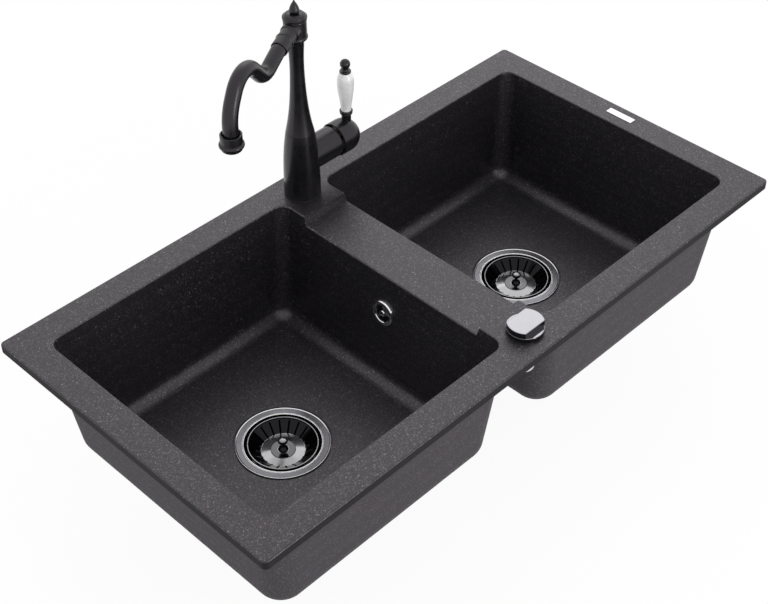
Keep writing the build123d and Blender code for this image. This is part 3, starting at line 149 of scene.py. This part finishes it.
def uneven(tree, low, high, lump_mm, detail=2.0, roughness=0.5):
    """A value that wanders from low to high, in lumps about lump_mm across."""
    place = add(tree, "TexCoord").outputs["Object"]
    lumps = add(
        tree, "TexNoise", Vector=place, Scale=1 / (lump_mm * MM),
        Detail=detail, Roughness=roughness,
    )
    return add(
        tree, "MapRange", Value=lumps, From_Min=NOISE_LOW, From_Max=NOISE_HIGH,
        To_Min=low, To_Max=high,
    )


def relief(tree, shader, lump_mm, depth_mm, strength, detail=2.0, roughness=0.5):
    """Gives the surface lumps about lump_mm across, depth_mm high at a strength of 1."""
    place = add(tree, "TexCoord").outputs["Object"]
    lumps = add(
        tree, "TexNoise", Vector=place, Scale=1 / (lump_mm * MM),
        Detail=detail, Roughness=roughness,
    )
    bump = add(tree, "Bump", Height=lumps, Strength=strength, Distance=depth_mm * MM)
    feed(tree, shader, Normal=bump)


print("lumps of 1.5 mm have the scale", round(1 / (1.5 * MM)))

# %% [markdown]
# ## Quartz grains
#
# The sink is cast from quartz sand in black acrylic resin, and the sand shows as small light
# spots. Noise could speckle it, but its spots have no edge. A Voronoi pattern divides space into
# cells, much as packed sand does, so the grains are made from that: only some cells carry a
# grain, and the grains differ in size. Such sand is about 0.3 mm fine, which no picture of a whole
# sink could show, so it is drawn coarser, in cells of 1.5 mm, with a few lighter grains between.

# %% Grains
FINE_CELL_MM, FINE_SHARE, FINE_RADIUS = 1.5, 0.6, 0.6
COARSE_CELL_MM, COARSE_SHARE, COARSE_RADIUS = 1.8, 0.05, 0.5


def grains(tree, cell_mm, share, radius):
    """1 on the grains and 0 between them. The largest grain's radius is measured in cells."""
    place = add(tree, "TexCoord").outputs["Object"]
    cell = add(tree, "TexVoronoi", Vector=place, Scale=1 / (cell_mm * MM)).outputs
    lottery = add(tree, "SeparateColor", Color=cell["Color"]).outputs
    chosen = add(tree, "Math", {"operation": "GREATER_THAN"}, _0=lottery["Red"], _1=1 - share)
    size = add(tree, "Math", {"operation": "MULTIPLY"}, _0=lottery["Green"], _1=radius)
    inside = add(tree, "Math", {"operation": "LESS_THAN"}, _0=cell["Distance"], _1=size)
    return add(tree, "Math", {"operation": "MULTIPLY"}, _0=chosen, _1=inside)


print(f"grains in {FINE_SHARE:.0%} of the fine cells and {COARSE_SHARE:.0%} of the coarse ones")

# %% [markdown]
# ## The back of the casting
#
# Only the side that people see is polished. The back stays as it left the mould, dull and grey.
# Two materials on two sets of faces would be the usual way, but the casting is one solid whose
# faces have no names. So the material finds the back by itself, from the place and the normal: it
# is every steep face that looks away from the middle of its bowl. Each drain is under the middle
# of its bowl, and the bowls mirror each other in the plane x = 0.

# %% Back of the casting
DRAIN_X = 0.210
BOWL_MIDDLE_Z = -0.060
STEEPEST_UPWARD = 0.3


def raw_skin(tree):
    """1 on the steep faces that look away from their bowl, and 0 on the rest."""
    place = add(tree, "TexCoord").outputs["Object"]
    x = add(tree, "SeparateXYZ", Vector=place).outputs["X"]
    side = add(tree, "Math", {"operation": "SIGN"}, _0=x)
    middle_x = add(tree, "Math", {"operation": "MULTIPLY"}, _0=side, _1=DRAIN_X)
    middle = add(tree, "CombineXYZ", X=middle_x, Z=BOWL_MIDDLE_Z)
    outward = add(tree, "VectorMath", {"operation": "SUBTRACT"}, _0=place, _1=middle)
    normal = add(tree, "NewGeometry").outputs["Normal"]
    facing = add(tree, "VectorMath", {"operation": "DOT_PRODUCT"}, _0=normal, _1=outward)
    away = add(tree, "Math", {"operation": "GREATER_THAN"}, _0=facing, _1=0)
    upward = add(tree, "SeparateXYZ", Vector=normal).outputs["Z"]
    steep = add(tree, "Math", {"operation": "LESS_THAN"}, _0=upward, _1=STEEPEST_UPWARD)
    return add(tree, "Math", {"operation": "MULTIPLY"}, _0=away, _1=steep)


print("middles of the bowls in mm: x = +-", round(DRAIN_X / MM), " z =", round(BOWL_MIDDLE_Z / MM))

# %% [markdown]
# ## The casting's two colours
#
# The polished side is almost black resin with two sorts of grains. The back is dull grey in the
# photograph, and the rim's edge above it is black, as the resin is, and that black is also a
# painted shadow: it stands in for the dark band of shade under the rim, and fades out from 1 to
# 4 mm down the wall below. The edge stands above the worktop's surface at z = 0. It could be
# found by its normal, but its height is the simpler test.

# %% Colours of the casting
SHADED_EDGE_FROM, SHADED_EDGE_TO = -4 * MM, -1 * MM


def polished_side(tree, on_fine):
    """The colour of the side that people see: resin, fine grains and a few coarse ones."""
    clouds = uneven(tree, 0, 1, lump_mm=6, detail=4)
    resin = add(tree, "Mix", COLOURS, Factor=clouds, A=linear("#0a090b"), B=linear("#110f12"))
    fine = add(tree, "Mix", COLOURS, Factor=on_fine, A=resin, B=linear("#2c2a2d"))
    on_coarse = grains(tree, COARSE_CELL_MM, COARSE_SHARE, COARSE_RADIUS)
    return add(tree, "Mix", COLOURS, Factor=on_coarse, A=fine, B=linear("#6e6b6f"))


def raw_side_and_painted_edge_shade(tree, on_fine):
    """The colour of the back: dull grey below the rim, and black on the rim's edge, as painted
    shade that fades out a few mm down the wall.
    """
    dull = add(tree, "Mix", COLOURS, Factor=on_fine, A=linear("#39363a"), B=linear("#545155"))
    place = add(tree, "TexCoord").outputs["Object"]
    height = add(tree, "SeparateXYZ", Vector=place).outputs["Z"]
    # Painted shade: the rim's edge and the top few mm of the wall under it are blended to black.
    painted_shade_on_edge = add(tree, "MapRange", Value=height, From_Min=SHADED_EDGE_FROM, From_Max=SHADED_EDGE_TO)
    return add(tree, "Mix", COLOURS, Factor=painted_shade_on_edge, A=dull, B=linear("#100e11"))


print("the back turns black from", SHADED_EDGE_FROM / MM, "to", SHADED_EDGE_TO / MM, "mm")

# %% [markdown]
# ## Granite composite
#
# The rim looks grey and the bowls' walls look black, though they are one casting. Painting them
# so would be wrong from any other side. What makes the rim grey is the light sky mirrored in its
# satin skin, so the base colour is dark and the shader's own reflection does the rest. The IOR
# starts from the resin's 1.49 and the quartz's 1.54, and was matched to the photograph, as was
# the faint violet of the reflection.
#
# Quartz is glossier than resin, so the grains get a full reflection and a colour only a little
# lighter: they sparkle on the rim and fade on the dark walls, as they do in the photograph. The
# relief stands for the sandpaper feel of the skin. It is drawn at 1 mm, not at the sand's 0.3 mm.

# %% Granite composite
SATIN, RAW_ROUGHNESS = (0.36, 0.48), 0.6
RESIN_GLOSS, QUARTZ_GLOSS, RAW_GLOSS = (0.36, 0.80), 1.0, 0.14


def granite_composite():
    material, tree, shader = start_material(
        "granite_composite", Roughness=0.42, IOR=1.6, Specular_Tint=linear("#fff8ff")
    )
    raw = raw_skin(tree)
    on_fine = grains(tree, FINE_CELL_MM, FINE_SHARE, FINE_RADIUS)
    front, back = polished_side(tree, on_fine), raw_side_and_painted_edge_shade(tree, on_fine)
    colour = add(tree, "Mix", COLOURS, Factor=raw, A=front, B=back)
    satin = uneven(tree, *SATIN, lump_mm=1.5)
    rough = add(tree, "Mix", Factor=raw, A=satin, B=RAW_ROUGHNESS)
    resin_gloss = uneven(tree, *RESIN_GLOSS, lump_mm=1.3, detail=3, roughness=0.8)
    skin_gloss = add(tree, "Mix", Factor=on_fine, A=resin_gloss, B=QUARTZ_GLOSS)
    gloss = add(tree, "Mix", Factor=raw, A=skin_gloss, B=RAW_GLOSS)
    feed(tree, shader, Base_Color=colour, Roughness=rough, Specular_IOR_Level=gloss)
    relief(tree, shader, lump_mm=1.0, depth_mm=0.15, strength=0.25, detail=4, roughness=0.7)
    return material


granite = granite_composite()
print(granite.name, "has", len(granite.node_tree.nodes), "nodes")

# %% [markdown]
# ## Metals
#
# A metal has no colour under its surface. What it shows is the room, tinted, so its base colour is
# the tint of the mirror, and its IOR stays at the default. Polishing leaves cloudy patches about
# 9 mm wide, and marks a few hundredths of a millimetre wide. Brushed sheet could have an
# anisotropic shader, but that needs a direction, which pressed and turned pieces don't share. So
# both are noise, and the marks are drawn coarser, at 0.6 mm or more, so that they show.
#
# The badge plate is brushed stainless steel. Bolts and nuts are zinc-plated steel, which is duller
# and a little yellow. The cartridge's spindle, rotor and nut are turned brass.

# %% Metals
POLISH_CLOUD_MM = 9
MARK_DEPTH_MM = 0.02


def polished_metal(name, colour, roughness, marks_mm, marks):
    """A metal with cloudy polish, its roughness from one value to another, and fine marks."""
    material, tree, shader = start_material(name, Metallic=1.0, Base_Color=linear(colour))
    feed(tree, shader, Roughness=uneven(tree, *roughness, lump_mm=POLISH_CLOUD_MM, detail=5))
    relief(tree, shader, lump_mm=marks_mm, depth_mm=MARK_DEPTH_MM, strength=marks, detail=3)
    return material


badge_steel = polished_metal(
    "brushed_stainless_plate", "#dddcdd", roughness=(0.26, 0.38), marks_mm=0.6, marks=0.20
)
fixing_steel = polished_metal(
    "zinc_plated_steel", "#b9b8b4", roughness=(0.30, 0.45), marks_mm=1.2, marks=0.20
)
brass = polished_metal("turned_brass", "#d9b56b", roughness=(0.20, 0.32), marks_mm=0.7, marks=0.15)
print("metals:", [made.name for made in (badge_steel, fixing_steel, brass)])

# %% [markdown]
# ## Faces that lie flat and faces that stand up
#
# In the photograph, chrome and steel are much darker where they stand up than where they lie
# flat. The upright faces mirror something dark there, and this studio is white all round. Black
# screens round the sink could give that, but they would darken the granite too. So the dark
# reflection is painted: the metal's colour is darker where it stands up, which is a match to the
# photograph and not a fact about the metal. The blend follows the normal: its Z is 1 on a level
# face and 0 on an upright one.

# %% Flat and steep faces
STEEP_FROM, FLAT_FROM = 0.45, 0.85


def paint_dark_reflection_where_steep(material, flat, steep, start=STEEP_FROM, end=FLAT_FROM):
    """A painted dark reflection: blends from one colour on upright faces to another on level ones;
    returns the blend.
    """
    tree = material.node_tree
    normal = add(tree, "NewGeometry").outputs["Normal"]
    upward = add(tree, "SeparateXYZ", Vector=normal).outputs["Z"]
    lying = add(tree, "Math", {"operation": "ABSOLUTE"}, _0=upward)
    share = add(tree, "MapRange", Value=lying, From_Min=start, From_Max=end)
    colour = add(tree, "Mix", COLOURS, Factor=share, A=linear(steep), B=linear(flat))
    feed(tree, tree.nodes[SHADER], Base_Color=colour)
    return colour


print("the colours blend where the normal's Z is from", STEEP_FROM, "to", FLAT_FROM)

# %% [markdown]
# ## Chromium plate
#
# The knob, its collar and the overflow are chromium plate over polished brass. It is bluer and
# sharper than steel, and its only relief is the broad waves of the buffing, about 4 mm across.
# One plate could serve them all, and on the real sink it surely does. But the overflow sits in a
# dark bowl, where it has little light to mirror, and in the photograph it is bright all the same,
# so its plate is painted brighter here: a painted reflection that stands in for the light the bowl
# doesn't give. The knob's plate gets the painted dark reflection on its upright faces.

# %% Chromium plate
chrome = polished_metal(
    "chromium_plate", "#b9b8bc", roughness=(0.05, 0.10), marks_mm=4.0, marks=0.04
)
# Painted reflection: the knob's plate is darker where it stands up.
paint_dark_reflection_where_steep(chrome, flat="#9f9ea2", steep="#48474b")
# Painted reflection: the overflow's plate is coloured brighter than the knob's.
chrome_with_painted_reflection = polished_metal(
    "chromium_plate_painted_brighter", "#ededf0", roughness=(0.05, 0.10), marks_mm=4.0, marks=0.04
)
print("plates:", chrome.name, "and", chrome_with_painted_reflection.name)

# %% [markdown]
# ## Rings about a drain
#
# The strainers are round, and their finish changes from ring to ring. Painting that would take an
# unwrapped mesh and an image. Here the material measures its own distance from the drain's axis.
# The two drains mirror each other in the plane x = 0, and the absolute value of x folds them into
# one, so one material serves both.

# %% Distance from a drain
def from_drain(tree):
    """The distance from the axis of the nearest drain, in metres."""
    place = add(tree, "TexCoord").outputs["Object"]
    spot = add(tree, "SeparateXYZ", Vector=place).outputs
    folded = add(tree, "Math", {"operation": "ABSOLUTE"}, _0=spot["X"])
    along = add(tree, "Math", {"operation": "SUBTRACT"}, _0=folded, _1=DRAIN_X)
    level = add(tree, "CombineXYZ", X=along, Y=spot["Y"])
    return add(tree, "VectorMath", {"operation": "LENGTH"}, _0=level)


def on_ring(tree, away, ring_mm):
    """1 between a ring's inner and outer radius, and 0 elsewhere."""
    inner, outer = ring_mm
    middle, half = (inner + outer) / 2 * MM, (outer - inner) / 2 * MM
    return add(tree, "Math", {"operation": "COMPARE"}, _0=away, _1=middle, _2=half)


print("drains in mm: x = +-", round(DRAIN_X / MM))

# %% [markdown]
# ## The drain's flange
#
# The flange is pressed from stainless sheet. In the photograph its ring is grey between two
# bright raised beads. Cutting the solid up to colour them would make three pieces of one sheet.
# The solid has the beads' shape already, so the material only paints their highlights on, all the
# way round each bead. The ring's grey is painted shade too: a darker steel than the badge plate's,
# and darker still on its upright faces.

# %% Flange ring
BEAD_HIGHLIGHTS_MM = ((46.0, 48.2), (55.4, 58.0))


def flange_ring():
    # Painted shade: the ring's steel is a darker grey than the badge plate's, and darker still
    # where it stands up, a painted reflection.
    material = polished_metal(
        "brushed_stainless_flange", "#6f6e72", roughness=(0.16, 0.26), marks_mm=0.8, marks=0.12
    )
    colour = paint_dark_reflection_where_steep(material, flat="#6f6e72", steep="#4b4a4d")
    tree = material.node_tree
    away = from_drain(tree)
    for bead in BEAD_HIGHLIGHTS_MM:
        # Painted highlight: each bead is coloured near white all round.
        painted_bead_highlight = on_ring(tree, away, bead)
        colour = add(tree, "Mix", COLOURS, Factor=painted_bead_highlight, A=colour, B=linear("#e4e3e5"))
    feed(tree, tree.nodes[SHADER], Base_Color=colour)
    return material


ring_steel = flange_ring()
print(ring_steel.name, "has painted bead highlights at", BEAD_HIGHLIGHTS_MM, "mm")

# %% [markdown]
# ## The basket
#
# The basket is pressed from one stainless sheet. In the photograph its floor and rim are bright,
# its slotted side is almost black, and the boss round the grip is duller. The far half of the
# floor is dark and the near half light, as on a floor that falls outwards from the boss: the far
# half then mirrors the bowl's wall, and the near half the sky. The solid's floor falls a little,
# and it could fall further there. Only the reflection tells the difference, so a bump adds the
# rest. At a strength and distance of 1, its height is in metres and its slope is true.

# %% Basket
FALL_MM, FALL_SLOPE = (14.6, 26.0), -0.12
BOSS_MM = (6.9, 14.6)


def pressed_basket():
    material = polished_metal(
        "pressed_stainless_basket", "#a3a2a4", roughness=(0.10, 0.18), marks_mm=0.8, marks=0.08
    )
    # Painted reflection: the slotted side is coloured almost black where it stands up.
    colour = paint_dark_reflection_where_steep(material, flat="#a3a2a4", steep="#232224", start=0.84, end=0.96)
    tree = material.node_tree
    shader = tree.nodes[SHADER]
    away = from_drain(tree)
    inner, outer = FALL_MM
    within = add(tree, "Clamp", Value=away, Min=inner * MM, Max=outer * MM)
    height = add(tree, "Math", {"operation": "MULTIPLY"}, _0=within, _1=FALL_SLOPE)
    fall = add(tree, "Bump", Height=height, Strength=1, Distance=1)
    marks = shader.inputs["Normal"].links[0].from_node
    feed(tree, marks, Normal=fall)
    on_boss = on_ring(tree, away, BOSS_MM)
    colour = add(tree, "Mix", COLOURS, Factor=on_boss, A=colour, B=linear("#626164"))
    feed(tree, shader, Base_Color=colour)
    return material


basket_steel = pressed_basket()
print(basket_steel.name, "falls by", round((FALL_MM[0] - FALL_MM[1]) * FALL_SLOPE, 2), "mm")

# %% [markdown]
# ## Satin black coat
#
# The tap is cast and turned brass with a black coat sprayed over it. The brass could be a metal
# under a clear coat layer, but black paint hides it, so one smooth dark surface is enough. A
# sprayed coat is smooth but not mirror-like: it has a faint orange-peel skin, about 1.5 mm from
# lump to lump, and its highlights are wide. The colour is nearly black, so highlights alone tell
# the shape.

# %% Satin black coat
def satin_black_coat():
    material, tree, shader = start_material(
        "satin_black_coat", Base_Color=linear("#0f0e10"), IOR=1.5, Roughness=0.3,
        Specular_Tint=linear("#fff8ff"),
    )
    feed(tree, shader, Roughness=uneven(tree, 0.24, 0.34, lump_mm=12, detail=4))
    relief(tree, shader, lump_mm=1.5, depth_mm=0.04, strength=0.12, detail=2)
    return material


black_coat = satin_black_coat()
print(black_coat.name, "has", len(black_coat.node_tree.nodes), "nodes")

# %% [markdown]
# ## Glazed porcelain
#
# The lever's grip is white porcelain: a white clay body under clear glaze. One glossy layer would
# look like plastic. So the body is soft and a little uneven in tone, and the shader's coat is the
# glaze: sharper than the body, over broad and very low waves.

# %% Porcelain
def glazed_porcelain():
    material, tree, shader = start_material(
        "glazed_porcelain", Base_Color=linear("#e0dfe0"), IOR=1.5, Roughness=0.22,
        Coat_Weight=0.6, Coat_Roughness=0.04,
    )
    clouds = uneven(tree, 0, 1, lump_mm=14)
    tone = add(tree, "Mix", COLOURS, Factor=clouds, A=linear("#e6e5e6"), B=linear("#d9d8d9"))
    feed(tree, shader, Base_Color=tone)
    relief(tree, shader, lump_mm=5, depth_mm=0.1, strength=0.05)
    return material


porcelain = glazed_porcelain()
print(porcelain.name, "has", len(porcelain.node_tree.nodes), "nodes")

# %% [markdown]
# ## Moulded plastic and rubber
#
# The pieces under the sink are moulded. Polypropylene has a soft shine and shallow flow marks,
# rubber is nearly black and dull, and acetal is cleaner and whiter. They could be three separate
# materials, but what a mould does is the same for all: two close tones, uneven shine and the skin
# of the mould's wall. That skin is about 0.1 mm fine, and is drawn at about 1 mm so that it shows.

# %% Moulded pieces
TONE_PER_LUMP, SHINE_PER_LUMP = 6, 3


def moulded(name, dark, light, roughness, ior, lump_mm):
    """A moulded plastic or rubber: two close tones, uneven shine and a faint skin."""
    material, tree, shader = start_material(name, IOR=ior)
    clouds = uneven(tree, 0, 1, lump_mm * TONE_PER_LUMP, detail=4)
    tone = add(tree, "Mix", COLOURS, Factor=clouds, A=linear(dark), B=linear(light))
    shine = uneven(tree, *roughness, lump_mm * SHINE_PER_LUMP)
    feed(tree, shader, Base_Color=tone, Roughness=shine)
    relief(tree, shader, lump_mm, depth_mm=0.05, strength=0.15, detail=3)
    return material


polypropylene = moulded(
    "moulded_polypropylene", "#a9abad", "#b7b8b9", roughness=(0.38, 0.5), ior=1.49, lump_mm=1.2
)
acetal = moulded(
    "moulded_acetal", "#dcdbd6", "#e8e7e3", roughness=(0.3, 0.4), ior=1.48, lump_mm=1.0
)
rubber = moulded(
    "moulded_rubber", "#161616", "#222222", roughness=(0.6, 0.75), ior=1.52, lump_mm=0.8
)
print("moulded:", [made.name for made in (polypropylene, acetal, rubber)])

# %% [markdown]
# ## A finish for every node
#
# The frame's record gives each node a slot, which is a kind of material such as "granite" or
# "brass". Sixty lines could name a finish for each node, but one short table of slots says the
# same. A second table names the few nodes whose finish differs from the rest of their slot. Each
# node then drops the plain material that it came with. Its shape and place stay as they are.

# %% Give each node its material
slot_finish = {
    "granite": granite,
    "badge_steel": badge_steel,
    "fixing_steel": fixing_steel,
    "chrome": chrome,
    "black_tap": black_coat,
    "porcelain": porcelain,
    "brass": brass,
    "waste_plastic": polypropylene,
    "inner_plastic": acetal,
    "black_rubber": rubber,
}
own_finish = {"overflow_rosette": chrome_with_painted_reflection, "overflow_screw": chrome_with_painted_reflection}
for side in ("left", "right"):
    own_finish[f"{side}_waste_flange"] = ring_steel
    own_finish[f"{side}_basket"] = basket_steel
    own_finish[f"{side}_basket_grip"] = basket_steel
slot_of = {part["node"]: part["material_slot"] for part in frame["record"]["subparts"]}
for name, node in nodes.items():
    node.data.materials.clear()
    node.data.materials.append(own_finish.get(name) or slot_finish[slot_of[name]])
print("nodes with a finish:", len(slot_of), " of which their own:", len(own_finish))

# %% [markdown]
# ## The floor
#
# The photograph is a cut-out on pure white. A bent backdrop would need hiding from every other
# side, so a wide level floor just under the outlets stands in for the white. It is the stage, and
# not a part of the sink.

# %% Floor
FLOOR_DROP = 0.5 * MM
FLOOR_HALF = 6.0
floor_z = cad_low.z - FLOOR_DROP
floor_mesh = bpy.data.meshes.new("studio_floor")
floor_mesh.from_pydata(
    [(x * FLOOR_HALF, y * FLOOR_HALF, floor_z) for x, y in ((-1, -1), (1, -1), (1, 1), (-1, 1))],
    [], [(0, 1, 2, 3)],
)
floor = bpy.data.objects.new("studio_floor", floor_mesh)
bpy.context.scene.collection.objects.link(floor)
floor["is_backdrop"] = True
print("floor at z =", round(floor_z / MM, 1), "mm")

# %% [markdown]
# ## White paper for the floor
#
# Matt paper alone would be grey in the render, and more light to whiten it would wash out the
# sink. So the Light Path node tells rays apart. What the camera, metal and glass see of the paper
# is mostly its own white glow, with a little matt paper left, so that the sink's shadow stays
# faintly on it. Light that the floor throws on the sink comes from the matt paper alone.

# %% Paper
GLOW_SHARE = 0.93
paper = bpy.data.materials.new("white_paper")
paper.use_nodes = True
tree = paper.node_tree
tree.nodes.clear()
path = add(tree, "LightPath").outputs
seen = add(
    tree, "Math", {"operation": "MAXIMUM"}, _0=path["Is Camera Ray"], _1=path["Is Glossy Ray"]
)
seen = add(tree, "Math", {"operation": "MAXIMUM"}, _0=seen, _1=path["Is Transmission Ray"])
share = add(tree, "Math", {"operation": "MULTIPLY"}, _0=seen, _1=GLOW_SHARE)
matt = add(tree, "BsdfDiffuse", Color=linear("#f4f4f4"))
glow = add(tree, "Emission", Color=linear("#ffffff"), Strength=1.0)
surface = add(tree, "MixShader", _0=share, _1=matt, _2=glow)
add(tree, "OutputMaterial", Surface=surface)
floor_mesh.materials.append(paper)
print(f"{paper.name}: {GLOW_SHARE:.0%} glow where it is seen")

# %% [markdown]
# ## The sky
#
# A white world surrounds the sink like a light tent, and gives most of the light. Its strength
# sets that light, while the camera sees a white of its own past the floor, which stays pure white
# whatever the sky is set to. A strength of 1 is exactly white.

# %% World
SKY_LIGHT, SEEN_WHITE = 1.0, 1.0
world = bpy.data.worlds.new("studio")
bpy.context.scene.world = world
world.use_nodes = True
tree = world.node_tree
tree.nodes.clear()
sky = add(tree, "Background", Color=linear("#ffffff"), Strength=SKY_LIGHT)
white = add(tree, "Background", Color=linear("#ffffff"), Strength=SEEN_WHITE)
from_camera = add(tree, "LightPath").outputs["Is Camera Ray"]
backdrop = add(tree, "MixShader", _0=from_camera, _1=sky, _2=white)
add(tree, "OutputWorld", Surface=backdrop)
print("sky light:", SKY_LIGHT, " seen by the camera:", SEEN_WHITE)

# %% [markdown]
# ## The lamps
#
# Light from all sides alone would leave the shapes flat. Three soft boxes shape them: a wide one
# behind, where the rim and the bowls' floors mirror it towards the camera, a smaller one lower and
# further right, for the brighter sheen on that side, and a narrow strip low in front, which draws
# the highlights on the tap. They are weak, because the sky does most of the work.

# %% Lamps
SINK_MIDDLE, TAP_MIDDLE = (0, 0, 0), (0, 0.18, 0.15)


def softbox(name, watts, width, height, at, aim):
    """A rectangular lamp that faces a point."""
    lamp = bpy.data.lights.new(name, "AREA")
    lamp.shape = "RECTANGLE"
    lamp.size, lamp.size_y, lamp.energy = width, height, watts
    holder = bpy.data.objects.new(name, lamp)
    bpy.context.scene.collection.objects.link(holder)
    holder.location = at
    holder.rotation_mode = "QUATERNION"
    holder.rotation_quaternion = (Vector(aim) - Vector(at)).to_track_quat("-Z", "Y")


softbox("lamp_behind", watts=20, width=4.6, height=3.4, at=(2.6, 2.6, 3.4), aim=SINK_MIDDLE)
softbox("lamp_on_the_right", watts=6, width=1.9, height=1.7, at=(2.9, 2.5, 2.6), aim=SINK_MIDDLE)
softbox("strip_in_front", watts=12, width=0.25, height=1.4, at=(0.15, -1.9, 0.35), aim=TAP_MIDDLE)
print("lamps in watts:", {lamp.name: lamp.energy for lamp in bpy.data.lights})

# %% [markdown]
# ## The camera
#
# The camera stands where the photograph was taken from: to the left and in front, looking down at
# about 42 degrees. Moving it by eye until the picture fits is one way. Here its place, direction
# and lens were worked out once from the rim's four corners, so they are plain numbers. Its matrix
# is built from three directions: to the right and down in the picture, and forward into it.

# %% Camera
CAMERA_PLACE = (-0.98641, -0.93645, 1.14894)
CAMERA_DOWN = radians(41.651)
CAMERA_HEADING = radians(45.308)
CAMERA_ROLL = radians(0.1783)
LENS_MM, SENSOR_MM = 70.30, 36
NEAREST, FARTHEST = 0.05, 50
forward = Vector((
    sin(CAMERA_HEADING) * cos(CAMERA_DOWN), cos(CAMERA_HEADING) * cos(CAMERA_DOWN),
    -sin(CAMERA_DOWN),
))
level_right = Vector((cos(CAMERA_HEADING), -sin(CAMERA_HEADING), 0))
level_down = forward.cross(level_right)
right = level_right * cos(CAMERA_ROLL) + level_down * sin(CAMERA_ROLL)
down = level_down * cos(CAMERA_ROLL) - level_right * sin(CAMERA_ROLL)
camera_data = bpy.data.cameras.new("camera")
camera_data.sensor_width, camera_data.lens = SENSOR_MM, LENS_MM
camera_data.clip_start, camera_data.clip_end = NEAREST, FARTHEST
camera = bpy.data.objects.new("camera", camera_data)
bpy.context.scene.collection.objects.link(camera)
turn = Matrix((right, -down, -forward)).transposed().to_4x4()
camera.matrix_world = Matrix.Translation(CAMERA_PLACE) @ turn
bpy.context.scene.camera = camera
bpy.context.scene.view_settings.view_transform = "Standard"
print("camera looks along", [round(v, 3) for v in forward], "with a lens of", LENS_MM, "mm")

# %% [markdown]
# ## Two boxes to compare
#
# Materials can't change a size, but a piece that is modelled here could. So the last step measures
# how far apart the box of the solids and the box of what shows are, and prints it. Nothing was
# added to the sink, so the two are the same.

# %% Compare the two boxes
low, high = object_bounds()
apart = max(abs(v) for v in (*(low - cad_low), *(high - cad_high)))
print("the two boxes are", round(apart / MM, 3), "mm apart")
